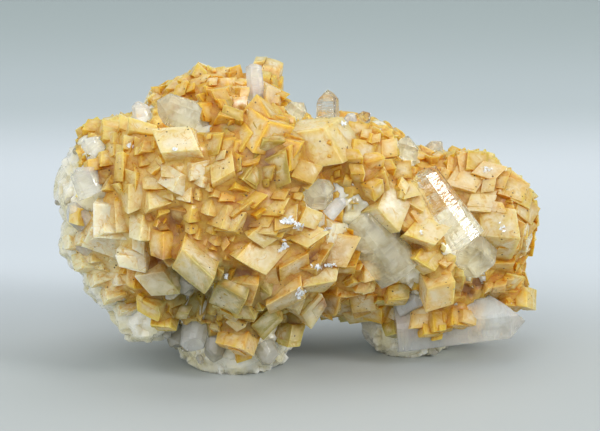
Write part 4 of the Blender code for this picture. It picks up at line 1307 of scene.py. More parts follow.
def large_rhombs():
    """Every large crystal: the ones that show, then more over the rest of the lump, with tones."""
    shown = [(rhomb_seen(*row[:-1], lump_surface), row[-1]) for row in FACES_SEEN]
    shown += [(rhomb_seen(*row[:-1], clear_surface), row[-1]) for row in TONGUE_SEEN]
    shown += [(block_seen(*row[:-1]), row[-1]) for row in BLOCKS_SEEN]
    crystals = [(crystal, TONES[tone]) for crystal, tone in shown]
    taken = []
    for (corner, edge_a, edge_b, _), _ in shown:
        taken.append((corner + (edge_a + edge_b) / 2.0, edge_a.length))
    for foot, tip, foot_radius, _, _, _ in clear_rows + milky_rows:
        for share in ALONG_QUARTZ:
            taken.append((foot.lerp(tip, share), foot_radius * 2.0))
    draw = random.Random(RHOMB_SEED)
    tone_draw = random.Random(TONE_SEED)
    for place, outward, others in all_over(LOBES, lambda lobe: lobe[3]):
        size = draw.uniform(*RHOMB_SIZES)
        spot = place + outward * draw.uniform(*RHOMB_LIFTS)
        crystal = rhomb_standing(spot, outward, size, draw)
        if inside(place, others, OTHERS_MARGIN) or inside(place, BARE_ZONES, BARE_MARGIN):
            continue
        if covered(spot, size, taken):
            continue
        fitted = shrunk_into_outline(spot, crystal)
        if fitted is not None:
            crystals.append((fitted, nearby_tone(spot, tone_draw)))
            taken.append((spot, fitted[1].length))
    return crystals


def ruled_skin(lines):
    """The skin of a block ruled by a number of lines each way, as line numbers and faces."""
    found = {}
    faces = []
    last = lines - 1
    for axis in range(3):
        across = (axis + 1) % 3
        up = (axis + 2) % 3
        for side in (0, last):
            for i in range(last):
                for j in range(last):
                    ring = []
                    for step_i, step_j in ((0, 0), (1, 0), (1, 1), (0, 1)):
                        code = [0, 0, 0]
                        code[axis] = side
                        code[across] = i + step_i
                        code[up] = j + step_j
                        ring.append(found.setdefault(tuple(code), len(found)))
                    if side == 0:
                        ring.reverse()
                    faces.append(ring)
    return np.array(list(found)), np.array(faces)


SKINS = {lines: ruled_skin(lines) for lines in (RULED_LEAST, RULED_MORE, RULED_MOST)}


def stained(tones, places):
    """Tones with the colours and painted shade laid over parts of the crust, and the stain of the gaps
    they lie in.
    """
    x, y = seen_from_front(places)
    front = np.clip((LOBES[0][0].y - places[:, 1]) / FRONT_BLEND + 0.5, 0.0, 1.0)
    # Each part's colour is laid over the tones. The dark ones over the deep middle, the hollow and the
    # low middle are partly painted shade.
    for tint_x, tint_y, half_width, half_height, colour, most in TINTS_AND_SHADE:
        off_middle = np.hypot((x - tint_x) / half_width, (y - tint_y) / half_height)
        near = np.clip(TINT_STEEP - TINT_STEEP * off_middle, 0.0, 1.0)
        share = (front * near * most)[:, None]
        tones = tones * (1.0 - share) + np.array(colour) * share
    for (_, _, _, _, colour), share in zip(GAPS, gap_shares(places)):
        share = np.clip(share * STAIN_STEEP + STAIN_SPREAD, 0.0, STAIN_MOST)[:, None]
        tones = tones * (1.0 - share) + np.array(colour) * share
    return tones


class Heap:
    """Blocks of crystal that grow together into one, each spot with its place, reach and tone."""

    def __init__(self):
        self.blocks = []

    def add(self, middle, halves, low, high, tone, draw, lines, saddle):
        """One block with worn edges: a share of a crystal, from its low to its high corner."""
        codes, faces = SKINS[lines]
        axes = np.array([tuple(half) for half in halves])
        lengths = np.linalg.norm(axes, axis=1)
        if np.linalg.det(axes) < 0.0:
            faces = faces[:, ::-1]
        low = np.array(low)
        high = np.array(high)
        reach = (high - low) / 2.0 * lengths
        worn = np.minimum(ROUNDING * draw.uniform(*ROUNDING_SHARES) / reach, MOST_ROUNDED)
        inner = np.linspace(-1.0, 1.0, lines - 2)[:, None] * (1.0 - worn)[None, :]
        marks = np.vstack([-np.ones(3), inner, np.ones(3)])
        unit = np.stack([marks[codes[:, axis], axis] for axis in range(3)], axis=1)
        kept = np.clip(unit, -(1.0 - worn), 1.0 - worn)
        past = (unit - kept) * reach
        size = np.linalg.norm(past, axis=1, keepdims=True)
        size[size == 0.0] = 1.0
        radius = (worn * reach).min()
        unit = kept + past / size * radius / reach
        for _ in range(draw.randint(*CHIPS)):
            way = np.array([draw.choice((-1.0, 0.0, 1.0)) for _ in range(3)])
            if np.abs(way).sum() > 1.0:
                over = unit @ way - np.abs(way).sum() * (1.0 - draw.uniform(*CHIP_DEPTHS))
                unit -= np.maximum(over, 0.0)[:, None] * way / (way @ way)
        x, y, z = unit.T
        warp = np.stack([y * z, z * x, x * y], axis=1) * saddle
        share = (low + high) / 2.0 + (unit + warp) * (high - low) / 2.0
        spots = np.array(middle) + share @ axes
        phase = draw.uniform(*BEND_STARTS)
        for length, height in BENDS:
            spots = spots + np.sin(spots[:, [1, 2, 0]] / length + phase) * height
        self.keep(spots, faces, unit * reach / MM, reach / MM, tone)

    def keep(self, corners, faces, places, reach, tone):
        """Stores one closed block, with the places of its corners in it and its half-size."""
        count = len(corners)
        tones = np.ones((count, 4))
        tones[:, :3] = stained(np.tile(tone, (count, 1)), corners)
        self.blocks.append(shell("block", corners, faces, [
            ("place", "FLOAT_VECTOR", places),
            ("reach", "FLOAT_VECTOR", np.tile(reach, (count, 1))),
            ("tone", "FLOAT_COLOR", tones),
        ]))


def united(blocks):
    """Closed blocks as one closed mesh, without what lies inside."""
    others = bpy.data.collections.new("blocks")
    bpy.context.scene.collection.children.link(others)
    bodies = [in_scene("block", blocks[0])]
    for mesh in blocks[1:]:
        bodies.append(bpy.data.objects.new("block", mesh))
        others.objects.link(bodies[-1])
    join = bodies[0].modifiers.new("join", "BOOLEAN")
    join.operation = "UNION"
    join.solver = "MANIFOLD"
    join.operand_type = "COLLECTION"
    join.collection = others
    joined = as_it_shows(bodies[0])
    for body in bodies:
        bpy.data.objects.remove(body)
    for mesh in blocks:
        bpy.data.meshes.remove(mesh)
    bpy.data.collections.remove(others)
    return joined


def tones_of(mesh):
    """The places of a mesh's corners and their tones."""
    count = len(mesh.vertices)
    owners = np.zeros(len(mesh.loops), dtype=np.int32)
    mesh.loops.foreach_get("vertex_index", owners)
    colours = np.zeros(len(mesh.loops) * 4, dtype=np.float32)
    mesh.attributes["tone"].data.foreach_get("color", colours)
    tones = np.zeros((count, 4))
    np.add.at(tones, owners, colours.reshape(-1, 4))
    return corners_of(mesh), tones / np.maximum(np.bincount(owners, minlength=count), 1)[:, None]


def seam_filling(crystals):
    """What grew in the narrow gaps between crystals: their skin closed over, a hair below their faces."""
    body = in_scene("filling", crystals)
    for shift in (SEAM_REACH, -SEAM_REACH - SEAM_BELOW, 0.0):
        remesh(body, SEAM_VOXEL)
        swell = body.modifiers.new("swell", "DISPLACE")
        swell.mid_level = 0.0
        swell.strength = shift
    skin = as_it_shows(body)
    corners = corners_of(skin)
    faces = faces_of(skin)
    bpy.data.objects.remove(body)
    bpy.data.meshes.remove(skin)
    places, tones = tones_of(crystals)
    nearest = KDTree(len(places))
    for number, place in enumerate(places):
        nearest.insert(place, number)
    nearest.balance()
    filled = np.ones((len(corners), 4))
    for number, corner in enumerate(corners):
        found = [item[1] for item in nearest.find_n(corner, SEAM_NEIGHBOURS)]
        filled[number, :3] = tones[found, :3].mean(axis=0)
    filled[:, :3] *= 1.0 - SEAM_GOLD + np.array(SEAM_TINT) * SEAM_GOLD
    filled[:, :3] = stained(filled[:, :3], corners)
    far_from_edges = np.full((len(corners), 3), OPEN_REACH)
    return shell("filling", corners, faces, [
        ("place", "FLOAT_VECTOR", far_from_edges),
        ("reach", "FLOAT_VECTOR", far_from_edges),
        ("tone", "FLOAT_COLOR", filled),
    ])


def near_tone(tone, draw, spread=TONE_SPREAD):
    """A tone a little lighter or darker, warmer or cooler than another."""
    light = 1.0 + draw.gauss(0.0, spread)
    warm = draw.gauss(0.0, spread * 0.5)
    lighter = (tone[0] * light * (1.0 + warm), tone[1] * light, tone[2] * light * (1.0 - 2.0 * warm))
    return [min(colour, LIGHTEST) for colour in lighter]


def turned(halves, draw, amount):
    """Half-edges turned together by a small random angle."""
    axis = any_way(draw)
    spin = Matrix.Rotation(draw.gauss(0.0, amount), 3, axis)
    return [spin @ half for half in halves]


def terrace(lengths, draw):
    """The low and high corners of a flat terrace that stands a little proud of its crystal."""
    low = [0.0, 0.0, 0.0]
    high = [0.0, 0.0, 0.0]
    main = draw.choice(TERRACE_SIDES)
    for axis in range(3):
        rise = draw.uniform(*TERRACE_HEIGHTS) / lengths[axis]
        if axis == main:
            if axis == 2 or draw.random() < 0.5:
                low[axis] = -1.0 - rise
                high[axis] = draw.uniform(*TERRACE_ENDS)
            else:
                low[axis] = draw.uniform(-TERRACE_ENDS[1], -TERRACE_ENDS[0])
                high[axis] = 1.0 + rise
        else:
            low[axis] = draw.choice((-1.0 - rise * 0.5, -1.0 + draw.uniform(*TERRACE_STEPS)))
            high[axis] = draw.choice((1.0 + rise * 0.5, 1.0 - draw.uniform(*TERRACE_STEPS)))
    return low, high


def grow_rhomb(heap, crystal, tone, draw):
    """One dolomite crystal: its main block, the terraces on it and the smaller twin in it."""
    middle = middle_of(crystal)
    halves = [edge / 2.0 for edge in crystal[1:]]
    lengths = [half.length for half in halves]
    saddle = draw.uniform(*SADDLE)
    heap.add(middle, halves, *WHOLE, near_tone(tone, draw), draw, RULED_MOST, saddle)
    for _ in range(draw.randint(*TERRACES)):
        low, high = terrace(lengths, draw)
        heap.add(middle, turned(halves, draw, TERRACE_TURN), low, high,
                 near_tone(tone, draw, TERRACE_TONE_SPREAD), draw, RULED_MORE, saddle)
    for _ in range(draw.choice(TWINS)):
        step = [draw.choice((-1.0, 1.0)) * draw.uniform(*TWIN_STEPS) for _ in range(2)]
        step.append(draw.uniform(*TWIN_LIFTS))
        shift = halves[0] * step[0] + halves[1] * step[1] + halves[2] * step[2]
        share = draw.uniform(*TWIN_SHARES)
        smaller = [half * share for half in turned(halves, draw, TWIN_TURN)]
        if in_outline(middle + shift * TWIN_ROOM, CRUST_OUTLINE):
            heap.add(middle + shift, smaller, *WHOLE, near_tone(tone, draw, SMALL_TONE_SPREAD),
                     draw, RULED_MORE, saddle)


def build_growth_group():
    """Growth lines on a dolomite face: shallow steps along both of its edge directions."""
    tree, given, result = bare_group("growth lines of dolomite", {"Spacing": "Float"}, "Height")
    parts = place_node(tree, "ShaderNodeSeparateXYZ", None, {0: carried(tree, "place")})
    scale = sum_up(tree, "DIVIDE", 1.0, given["Spacing"])
    lines = [
        place_node(tree, "ShaderNodeTexNoise", {"noise_dimensions": "1D"},
                   {"W": way, "Scale": scale, "Detail": 4.0}).outputs["Fac"]
        for way in parts.outputs
    ]
    both = sum_up(tree, "ADD", lines[0], lines[1])
    wire(tree, result, {"Height": sum_up(tree, "ADD", both, lines[2])})
    return tree


growth_lines = build_growth_group()
HEART_CREAM = (0.74, 0.68, 0.53, 1.0)
HONEY_FILM = (0.93, 0.77, 0.22, 1.0)
WISP_FILM = (0.86, 0.62, 0.20, 1.0)
DAPPLE_FILM = (0.86, 0.80, 0.62, 1.0)
SOIL_FILM = (0.90, 0.68, 0.32, 1.0)
# The pale of thin free edges: a painted highlight, as where light shines through them
EDGE_HIGHLIGHT = (0.90, 0.84, 0.66, 1.0)
IRON_DARK = (0.09, 0.045, 0.02, 1.0)
DOLOMITE_STAIN = (0.35, 0.45)
DOLOMITE_IOR = 1.6


def build_dolomite_finish():
    """Dolomite: pearly and waxy, cream in the middle of a face and honey toward its sides, with gold and
    red-brown iron deep between the crystals, a painted highlight along thin free edges where light shines
    through them, and a few dark grains."""
    finish, tree, surface, where = new_finish("dolomite")
    tone = carried(tree, "tone", "Color")
    hidden = use_group(tree, crevices, {"Reach": 3.2 * MM})
    soft = mottle(tree, where, 3.0 * MM, 3.0, 0.3)
    cloud = mottle(tree, where, 1.5 * MM, 4.0, 0.6)
    patch = mottle(tree, where, 8.0 * MM, 2.0, 0.4)
    rim = use_group(tree, crystal_edges, {"Width": 0.16, "Wander": 0.4, "Cloud": cloud})
    broad = use_group(tree, crystal_edges, {"Width": 1.3, "Wander": 2.6, "Cloud": cloud})
    heart = sum_up(tree, "SUBTRACT", 1.0, broad)
    heart = sum_up(tree, "MULTIPLY", heart, stretch(tree, soft, 0.30, 0.60, 0.20, 0.78))
    milky = blend(tree, heart, tone, HEART_CREAM)
    seam = stretch(tree, hidden, 0.08, 0.42, 0.0, 1.0)
    honey = sum_up(tree, "ADD", seam, stretch(tree, patch, 0.44, 0.60, 0.0, 0.75))
    margin = sum_up(tree, "MULTIPLY", broad, stretch(tree, soft, 0.36, 0.62, 0.0, 0.4))
    honey = sum_up(tree, "ADD", honey, margin)
    honey = sum_up(tree, "MULTIPLY", honey, stretch(tree, cloud, 0.36, 0.66, 0.15, 1.0), clamp=True)
    parts = place_node(tree, "ShaderNodeSeparateColor", None, {0: tone})
    paleness = sum_up(tree, "DIVIDE", parts.outputs[2], parts.outputs[0])
    taking = stretch(tree, paleness, 0.40, 0.72, 1.0, 0.2)
    honey = sum_up(tree, "MULTIPLY", honey, taking)
    warm = blend(tree, honey, milky, HONEY_FILM, "MULTIPLY")
    wisps = mottle(tree, where, 3.4 * MM, 5.0, 1.6)
    wisps = sum_up(tree, "ABSOLUTE", sum_up(tree, "SUBTRACT", wisps, 0.5))
    wisps = stretch(tree, wisps, 0.0, 0.035, 0.75, 0.0)
    wisps = sum_up(tree, "MULTIPLY", wisps, stretch(tree, cloud, 0.40, 0.60))
    warm = blend(tree, wisps, warm, WISP_FILM, "MULTIPLY")
    dapple = stretch(tree, mottle(tree, where, 0.8 * MM, 4.0, 0.5), 0.30, 0.70, 0.0, 0.5)
    warm = blend(tree, dapple, warm, DAPPLE_FILM, "MULTIPLY")
    soil = stretch(tree, mottle(tree, where, 1.3 * MM, 4.0, 0.9), 0.42, 0.62, 0.0, 0.85)
    soil = sum_up(tree, "MULTIPLY", soil, stretch(tree, hidden, 0.04, 0.24))
    warm = blend(tree, soil, warm, SOIL_FILM, "MULTIPLY")
    least, more = DOLOMITE_STAIN
    amount = sum_up(tree, "MULTIPLY_ADD", taking, more, least)
    stain = use_group(tree, rust, {"Colour": warm, "Hidden": hidden, "Amount": amount, "Where": where})
    # Painted highlight along the free edges that are not hidden between crystals
    lit_edge = sum_up(tree, "MULTIPLY", rim, stretch(tree, hidden, 0.05, 0.30, 0.08, 0.0))
    pale = blend(tree, lit_edge, stain, EDGE_HIGHLIGHT)
    grain = use_group(tree, specks, {"Where": where, "Spacing": 0.80 * MM, "Share": 0.75})
    grain = sum_up(tree, "MULTIPLY", grain, stretch(tree, patch, 0.40, 0.47))
    grain = sum_up(tree, "MULTIPLY", grain, stretch(tree, cloud, 0.46, 0.54))
    lines = use_group(tree, growth_lines, {"Spacing": 1.6})
    fine = sum_up(tree, "MULTIPLY", mottle(tree, where, 0.5 * MM), 0.4)
    wire(tree, surface, {
        "Base Color": blend(tree, grain, pale, IRON_DARK),
        "Roughness": stretch(tree, cloud, 0.3, 0.7, 0.22, 0.50),
        "Normal": bumped(tree, 0.4, 0.08 * MM, sum_up(tree, "ADD", lines, fine)),
        "IOR": DOLOMITE_IOR,
        "Specular IOR Level": 0.3,
        "Subsurface Weight": 0.95,
        "Subsurface Radius": (1.0, 0.85, 0.55),
        "Subsurface Scale": 2.4 * MM,
    })
    return finish


dolomite_finish = build_dolomite_finish()
heap = Heap()
rhombs = large_rhombs()
draw = random.Random(GROWTH_SEED)
for crystal, tone in rhombs:
    grow_rhomb(heap, crystal, tone, draw)


# The ground under the crystals and the smaller crystals between them: a rough honey mat, then rhombs of
# three to six millimetres that grew side by side with the large ones, grains in the last gaps, and
# tiny ones on the large faces. The mat lies deep where bare or clear quartz shows.
CRUSTED = LOBES[:4]
CRUSTED_ROOM = 300.0
GROUND_SEED = 9
GROUND_DEPTH = 0.4 * MM
GROUND_VOXEL = 0.85 * MM
GROUND_SPACING = 1.5 * MM
GROUND_TILT = 0.6
GROUND_LIMIT = 0.45 * MM
GROUND_SUNK = 3.0 * MM
UNDER_CLEAR = 0.8
GROUND_TONE = (0.68, 0.46, 0.08)
NEXT_SEED = 31
NEXT_COUNT = 5200
PLAIN_BELOW = 4.5 * MM
NEXT_SIZES = (3.2 * MM, 6.6 * MM)
NEXT_LIFTS = (0.7 * MM, 1.8 * MM)
NEXT_TURN = 0.38
NEXT_FLAT = (0.75, 1.0)
NEXT_CROWDING = 0.36
DRUSE_COUNT = 3000
DRUSE_SIZES = (1.0 * MM, 2.2 * MM)
DRUSE_LIFTS = (0.4 * MM, 1.2 * MM)
DRUSE_ROOM = 0.5
DRUSE_SADDLE = 0.05
DAUGHTERS = (0, 0, 1)
DAUGHTER_SHARE = (0.16, 0.30)
DAUGHTER_EDGES = (-0.85, 0.85)
DAUGHTER_ALONG = (-0.8, 0.8)
DAUGHTER_DEPTHS = (0.85, 1.0)
DAUGHTER_TURN = 0.22
ROOM_TRIES = 3
ROOM_SHARE = 0.42
ROOM_SHRINK = 0.72
HIDING_SHARE = 0.2


def off_axis(place, foot, tip, foot_radius, tip_radius):
    """How far a place is from a tapered crystal's axis, and the crystal's radius there."""
    along = tip - foot
    share = max(0.0, min(1.0, (place - foot).dot(along) / along.length_squared))
    return (place - foot - along * share).length, foot_radius + (tip_radius - foot_radius) * share


def under_clear(place):
    """Whether a place lies under a clear crystal."""
    for row in clear_rows:
        distance, radius = off_axis(place, *row[:4])
        if distance < radius * UNDER_CLEAR:
            return True
    return False


def tree_of(blocks):
    """The faces of several blocks, to find which of them a line meets."""
    corners = []
    faces = []
    for block in blocks:
        first = len(corners)
        corners += [corner.co.copy() for corner in block.vertices]
        faces += [tuple(first + corner for corner in face.vertices) for face in block.polygons]
    return BVHTree.FromPolygons(corners, faces)


large_tree = tree_of(heap.blocks)
corners, outward, faces = joined_skin(CRUSTED, GROUND_DEPTH, GROUND_VOXEL)
corners = facetted(
    corners, outward, GROUND_VOXEL, GROUND_SPACING, GROUND_TILT, GROUND_LIMIT, GROUND_SEED)
corners -= outward * sunk(corners)[:, None]
for number, place in enumerate(corners):
    if inside(place, BARE_ZONES) or under_clear(Vector(place)):
        corners[number] -= outward[number] * GROUND_SUNK
corners[:, 2] = np.maximum(corners[:, 2], 0.0)
far_from_edges = np.full((len(corners), 3), OPEN_REACH)
heap.keep(corners, faces, far_from_edges, np.full(3, OPEN_REACH), GROUND_TONE)
ground_tree = tree_of(heap.blocks[-1:])


def large_one_shows(spot):
    """Whether a large crystal, not the ground, is what the viewer sees at a place."""
    way = (spot - EYE).normalized()
    crystal = large_tree.ray_cast(EYE, way)[3]
    ground = ground_tree.ray_cast(EYE, way)[3]
    return crystal is not None and (ground is None or crystal < ground)


def room_at(spot, size):
    """How large a crystal has room between the large ones that show, up to a size."""
    if spot.y > LOBES[0][0].y:
        return size
    if large_one_shows(spot):
        return 0.0
    for _ in range(ROOM_TRIES):
        round_it = [RIGHT, -RIGHT, UPWARD, -UPWARD]
        if sum(large_one_shows(spot + way * size * ROOM_SHARE) for way in round_it) < 2:
            return size
        size *= ROOM_SHRINK
    return size


def in_gap(place):
    """Whether a place, seen from the viewer's side, falls in one of the gaps."""
    return any(share[0] > 0.0 for share in gap_shares([place]))


def on_clear_quartz(spot, size):
    """Whether a crystal there would hide a clear quartz crystal from the viewer."""
    if spot.y > LOBES[0][0].y:
        return False
    place = Vector(seen_at(spot))
    for foot, tip, foot_radius, tip_radius, *_ in CLEAR_SEEN:
        distance, radius = off_axis(place, Vector(foot), Vector(tip), foot_radius, tip_radius)
        if distance < radius + size / PIXEL * HIDING_SHARE:
            return True
    return False


def alike(crystal, spot, size, draw):
    """A crystal that grew nearly parallel to another one."""
    edges = turned([edge.normalized() * size for edge in crystal[1:]], draw, NEXT_TURN)
    edges[2] *= draw.uniform(*NEXT_FLAT)
    return (spot - (edges[0] + edges[1] + edges[2]) / 2.0, *edges)


def spots_between(count, lifts, draw):
    """Places for smaller crystals between the large ones, with their outward directions."""
    for place, outward, others in all_over(CRUSTED, lambda lobe: int(count * lobe[3] / CRUSTED_ROOM)):
        if not inside(place, others) and not inside(place, BARE_ZONES):
            yield place + outward * draw.uniform(*lifts), outward


def add_small(crystal, tone, lines, saddle):
    """Adds a smaller crystal to the heap, all in one block."""
    halves = [edge / 2.0 for edge in crystal[1:]]
    middle = crystal[0] + halves[0] + halves[1] + halves[2]
    heap.add(middle, halves, *WHOLE, tone, draw, lines, saddle)


middles = KDTree(len(rhombs))
for number, (crystal, _) in enumerate(rhombs):
    middles.insert(middle_of(crystal), number)
middles.balance()
draw = random.Random(NEXT_SEED)
next_ones = []
for spot, outward in spots_between(NEXT_COUNT, NEXT_LIFTS, draw):
    size = room_at(spot, draw.uniform(*NEXT_SIZES))
    if size == 0.0 or in_gap(spot) or on_clear_quartz(spot, size):
        continue
    if covered(spot, size * NEXT_CROWDING, next_ones):
        continue
    neighbour = rhombs[middles.find(spot)[1]]
    crystal = shrunk_into_outline(spot, alike(neighbour[0], spot, size, draw))
    if crystal is None:
        continue
    next_ones.append((spot, size * NEXT_CROWDING))
    tone = near_tone(nearby_tone(spot, draw), draw)
    lines = RULED_LEAST if size < PLAIN_BELOW else RULED_MORE
    add_small(crystal, tone, lines, draw.uniform(*SADDLE))

for spot, outward in spots_between(DRUSE_COUNT, DRUSE_LIFTS, draw):
    size = draw.uniform(*DRUSE_SIZES)
    spot = spot - outward * float(sunk([spot])[0])
    crystal = rhomb_standing(spot, outward, size, draw)
    if room_at(spot, size) == 0.0 or on_clear_quartz(spot, size):
        continue
    if in_outline(spot + outward * size * DRUSE_ROOM, CRUST_OUTLINE):
        tone = near_tone(nearby_tone(spot, draw), draw, SMALL_TONE_SPREAD)
        add_small(crystal, tone, RULED_LEAST, DRUSE_SADDLE)

for crystal, tone in rhombs:
    _, edge_a, edge_b, edge_c = crystal
    for _ in range(draw.choice(DAUGHTERS)):
        share = draw.uniform(*DAUGHTER_SHARE)
        even_c = edge_a.length / edge_c.length * edge_c
        halves = [edge / 2.0 * share for edge in (edge_a, edge_b, even_c)]
        halves = turned(halves, draw, DAUGHTER_TURN)
        across = draw.choice(DAUGHTER_EDGES)
        along = draw.uniform(*DAUGHTER_ALONG)
        flat = (across, along) if draw.random() < 0.5 else (along, across)
        spot = middle_of(crystal) + edge_a / 2.0 * flat[0] + edge_b / 2.0 * flat[1]
        spot -= edge_c / 2.0 * draw.uniform(*DAUGHTER_DEPTHS)
        if in_outline(spot, CRUST_OUTLINE):
            heap.add(spot, halves, *WHOLE, near_tone(tone, draw, SMALL_TONE_SPREAD),
                     draw, RULED_LEAST, DRUSE_SADDLE)

crystals_mesh = united(heap.blocks)
crust_mesh = united([crystals_mesh, seam_filling(crystals_mesh)])
crust = tree_of([crust_mesh])
piece("dolomite_crystals", crust_mesh, dolomite_finish, ["dolomite_crust"], RHOMB_SHARP)


# The loose bits on the crust: clusters of white crinkled mineral between the crystals, tiny dark iron
# grains and one blue-green one. Each row of TUFT_AND_GLINT_ROWS is the middle, half-width and half-height
# of a cluster of white flakes in the picture and how many flakes it has. Some clusters are real white
# mineral. The ones where crystal faces glint are painted highlights. Each row of GRAINS_SEEN is a grain
# and its size in pixels.
# White flakes at (470, 336), (342, 124), (226, 276), (187, 118), (488, 170) and (176, 150) are painted
# highlights, put where faces glint
TUFT_AND_GLINT_ROWS = [
    (288, 222, 6, 3.5, 50), (297, 226, 5, 3, 30), (284, 246, 2.5, 5, 26), (280, 250, 2.5, 2, 10),
    (299, 292, 3, 4.5, 36), (304, 291, 3, 2, 10), (318, 268, 5, 2, 18), (329, 265, 5, 1.5, 16),
    (327, 229, 4, 1.5, 8), (470, 336, 10, 3.5, 26), (342, 124, 3, 2, 12), (226, 276, 1.5, 2.5, 8),
    (187, 118, 5, 3, 12), (421, 233, 2, 3, 8), (502, 228, 3, 4, 12), (488, 170, 5, 2, 10),
    (130, 146, 3, 2, 10), (176, 150, 3, 2, 8),
]
LOOSE_SEED = 43
FLAKE_LENGTHS = (0.15 * MM, 0.50 * MM)
FLAKE_LIFT = 0.30 * MM
FLAKE_RISE = 0.35
FLAKE_TIP = 0.5
FLAKE_WIDTHS = (0.35, 0.7)
FLAKE_THIN = 0.1
TUFT_AND_GLINT_GREY = (0.68, 0.71, 0.71, 1.0)
TUFT_AND_GLINT_WHITE = (0.88, 0.90, 0.90, 1.0)
IRON_BLACK = (0.018, 0.012, 0.008, 1.0)
IRON_BROWN = (0.07, 0.035, 0.015, 1.0)
COPPER_BLUE = (0.10, 0.26, 0.27, 1.0)
COPPER_GREEN = (0.22, 0.42, 0.40, 1.0)
GRAIN_PATCHES = 0.5 * MM
GRAINS_SEEN = [
    (96.3, 182.9, 1.5), (115.3, 194.3, 1.2), (119.1, 196.2, 1.0), (108, 177.5, 0.9), (117.3, 162.6, 0.8),
    (128.9, 141.7, 1.0), (152.5, 138.9, 0.9), (146.9, 128.9, 1.3), (149.9, 123, 0.7), (186.1, 143.4, 0.8),
    (209.6, 147.9, 0.9), (226.9, 201.5, 1.0), (175.3, 202.4, 1.0), (85.5, 224.1, 1.1), (233, 174, 0.8),
    (205.7, 213.4, 0.8), (241.6, 248.2, 1.3), (209.7, 267.5, 1.4), (280.7, 284.3, 1.3),
    (281.3, 280.5, 0.9), (284.6, 285, 1.1), (289, 291, 1.2), (277.5, 249.4, 0.9),
    (294.4, 264.5, 0.9), (290.5, 239.5, 0.9),
    (270.4, 224.7, 0.8), (255.4, 220.5, 0.8), (246.6, 206.6, 0.6), (208.6, 248.5, 0.8), (223, 228.6, 0.7),
    (264.3, 254.9, 0.6), (339, 216, 0.8), (463, 193.3, 0.8), (478, 203.5, 0.9), (496.4, 211.5, 0.9),
    (506.7, 189.7, 1.0), (534.2, 202.1, 1.0), (534.4, 221, 1.0), (520.8, 236.4, 1.2), (528.7, 237.7, 0.8),
    (490.2, 185.8, 1.1), (444.4, 168.6, 0.9), (424.2, 204.9, 0.9), (446.3, 255.6, 0.8), (402.9, 182, 0.9),
    (248, 348, 1.2), (166, 178, 0.8), (202, 335, 0.8), (177, 334, 0.8), (173, 334, 0.7),
]
COPPER_GRAIN = (454, 289, 1.6)
GRAIN_HALF = 0.65
GRAIN_WIDTHS = (0.6, 0.9)
GRAIN_THICK = 0.8


def on_the_crust(x, y):
    """Where the line of sight through a picture position meets the crust, and the way it faces."""
    ray = (in_picture(x, y) - EYE).normalized()
    hit, facing, _, _ = crust.ray_cast(EYE, ray)
    return hit, facing


tuft_and_glint_flakes = Grains()
draw = random.Random(LOOSE_SEED)
for x, y, half_width, half_height, count in TUFT_AND_GLINT_ROWS:
    for _ in range(count):
        off_x = draw.gauss(0.0, half_width * 0.5)
        off_y = draw.gauss(0.0, half_height * 0.5)
        hit, facing = on_the_crust(x + off_x, y + off_y)
        if hit is None:
            continue
        length = draw.uniform(*FLAKE_LENGTHS)
        flat = facing.cross(any_way(draw)).normalized()
        long = (flat + facing * draw.gauss(0.0, FLAKE_RISE)).normalized()
        side = (long.cross(facing).normalized() + facing * draw.gauss(0.0, FLAKE_TIP)).normalized()
        lift = facing * FLAKE_LIFT * draw.random()
        tuft_and_glint_flakes.add(hit + lift, long * length, side * length * draw.uniform(*FLAKE_WIDTHS),
                  long.cross(side) * length * FLAKE_THIN)
# One white finish for the real mineral and for the painted glints
tuft_and_glint_finish = build_grain_finish("white tuft and glint flakes", GRAIN_PATCHES, TUFT_AND_GLINT_GREY, TUFT_AND_GLINT_WHITE, 0.35)
tuft_and_glint_flakes.finish("white_tuft_and_glint_flakes", tuft_and_glint_finish, "dolomite", "dolomite_crust")

dark_grains = Grains()
copper_grain = Grains()
for x, y, size in GRAINS_SEEN + [COPPER_GRAIN]:
    hit, facing = on_the_crust(x, y)
    if hit is not None:
        long = any_way(draw) * size * PIXEL * GRAIN_HALF
        side = long.orthogonal().normalized() * long.length * draw.uniform(*GRAIN_WIDTHS)
        chosen = copper_grain if (x, y, size) == COPPER_GRAIN else dark_grains
        chosen.add(hit, long, side, long.cross(side).normalized() * long.length * GRAIN_THICK)
iron_finish = build_grain_finish("dark iron grains", GRAIN_PATCHES, IRON_BLACK, IRON_BROWN, 0.4)
dark_grains.finish("dark_grains", iron_finish, "dolomite", "dolomite_crust")
copper_finish = build_grain_finish(
    "blue-green copper grain", GRAIN_PATCHES, COPPER_BLUE, COPPER_GREEN, 0.5)
copper_grain.finish("copper_grain", copper_finish, "dolomite", "dolomite_crust")


# The floor and the light: one sheet of pale blue-grey paper lies flat under the specimen and sweeps up
# behind it. Four large square lamps light it softly, from above, the front, the left and the right.
FLOOR_HALF = 1.6
FLOOR_FRONT = -1.2
SHEET_TOP = 1.4
SWEEP_START = 0.75
SWEEP_RADIUS = 0.35
SWEEP_STEPS = 12
PAPER_RANGE = (-0.1, 0.5)
# The paper's colour along its depth is painted light and shade, lightest in a band behind the specimen
PAPER_LIT_AND_SHADED = [
    (0.04, (0.45, 0.48, 0.475, 1.0)), (0.22, (0.645, 0.695, 0.735, 1.0)),
    (0.42, (0.70, 0.75, 0.79, 1.0)), (0.66, (0.545, 0.605, 0.62, 1.0)),
    (1.0, (0.485, 0.55, 0.545, 1.0)),
]

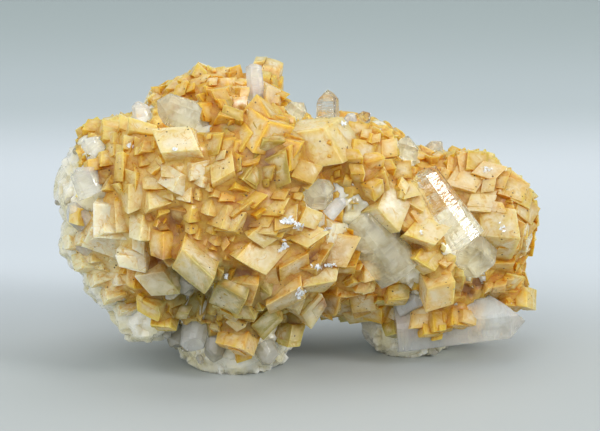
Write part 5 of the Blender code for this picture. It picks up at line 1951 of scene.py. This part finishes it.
profile = [(FLOOR_FRONT, 0.0), (SWEEP_START, 0.0)]
for step in range(1, SWEEP_STEPS + 1):
    angle = math.pi / 2.0 * step / SWEEP_STEPS
    profile.append((SWEEP_START + SWEEP_RADIUS * math.sin(angle), SWEEP_RADIUS * (1.0 - math.cos(angle))))
profile.append((SWEEP_START + SWEEP_RADIUS, SHEET_TOP))
sheet = bpy.data.meshes.new("floor")
points = []
for y, z in profile:
    points.append((-FLOOR_HALF, y, z))
    points.append((FLOOR_HALF, y, z))
strips = [(2 * i, 2 * i + 1, 2 * i + 3, 2 * i + 2) for i in range(len(profile) - 1)]
sheet.from_pydata(points, [], strips)
sheet.shade_smooth()
floor = in_scene("floor", sheet)


def build_floor_finish():
    """Matt paper with painted light and shade: lightest in a band about 150 mm behind the specimen,
    darker toward the front and further back, and even from there up the sweep.
    """
    finish, tree, surface, where = new_finish("pale paper with painted light")
    parts = place_node(tree, "ShaderNodeSeparateXYZ", None, {0: where})
    along = stretch(tree, parts.outputs[1], *PAPER_RANGE)
    ramp = place_node(tree, "ShaderNodeValToRGB", None, {0: along})
    ramp.color_ramp.interpolation = "EASE"
    stops = ramp.color_ramp.elements
    for stop, (place, colour) in ((stops[0], PAPER_LIT_AND_SHADED[0]), (stops[1], PAPER_LIT_AND_SHADED[-1])):
        stop.position = place
        stop.color = colour
    for place, colour in PAPER_LIT_AND_SHADED[1:-1]:
        stops.new(place).color = colour
    wire(tree, surface, {"Base Color": ramp.outputs["Color"], "Roughness": 0.6})
    return finish


sheet.materials.append(build_floor_finish())


def lamp(name, place, target, size, power, colour):
    """A square soft lamp that faces a point."""
    data = bpy.data.lights.new(name, "AREA")
    data.shape = "SQUARE"
    data.size = size
    data.energy = power
    data.color = colour
    light = in_scene(name, data)
    light.location = place
    light.rotation_euler = (target - place).to_track_quat("-Z", "Y").to_euler()


MIDDLE = Vector((0.0, 0.0, 25.0 * MM))
lamp("overhead", Vector((0.10, 0.12, 0.75)), MIDDLE, 0.60, 1.5, (1.0, 0.985, 0.96))
lamp("front", Vector((-0.20, -0.62, 0.48)), MIDDLE, 0.55, 2.2, (1.0, 0.99, 0.97))
lamp("left", Vector((-0.58, -0.22, 0.34)), MIDDLE, 0.50, 0.8, (0.97, 0.99, 1.0))

# The lamp at the right is where the long clear crystal's broad face mirrors it to the viewer
MIRRORED_DISTANCE = 0.65
white_face = WHITE_FACE + CENTRING
lamp("right", white_face + WHITE_FACE_LIGHT * MIRRORED_DISTANCE, white_face, 0.17, 2.0, (1.0, 1.0, 1.0))

ROOM_LIGHT = {"Color": (0.90, 0.95, 1.0, 1.0), "Strength": 0.60}
world = bpy.data.worlds.new("room")
world.use_nodes = True
wire(world.node_tree, world.node_tree.nodes["Background"], ROOM_LIGHT)
bpy.context.scene.world = world
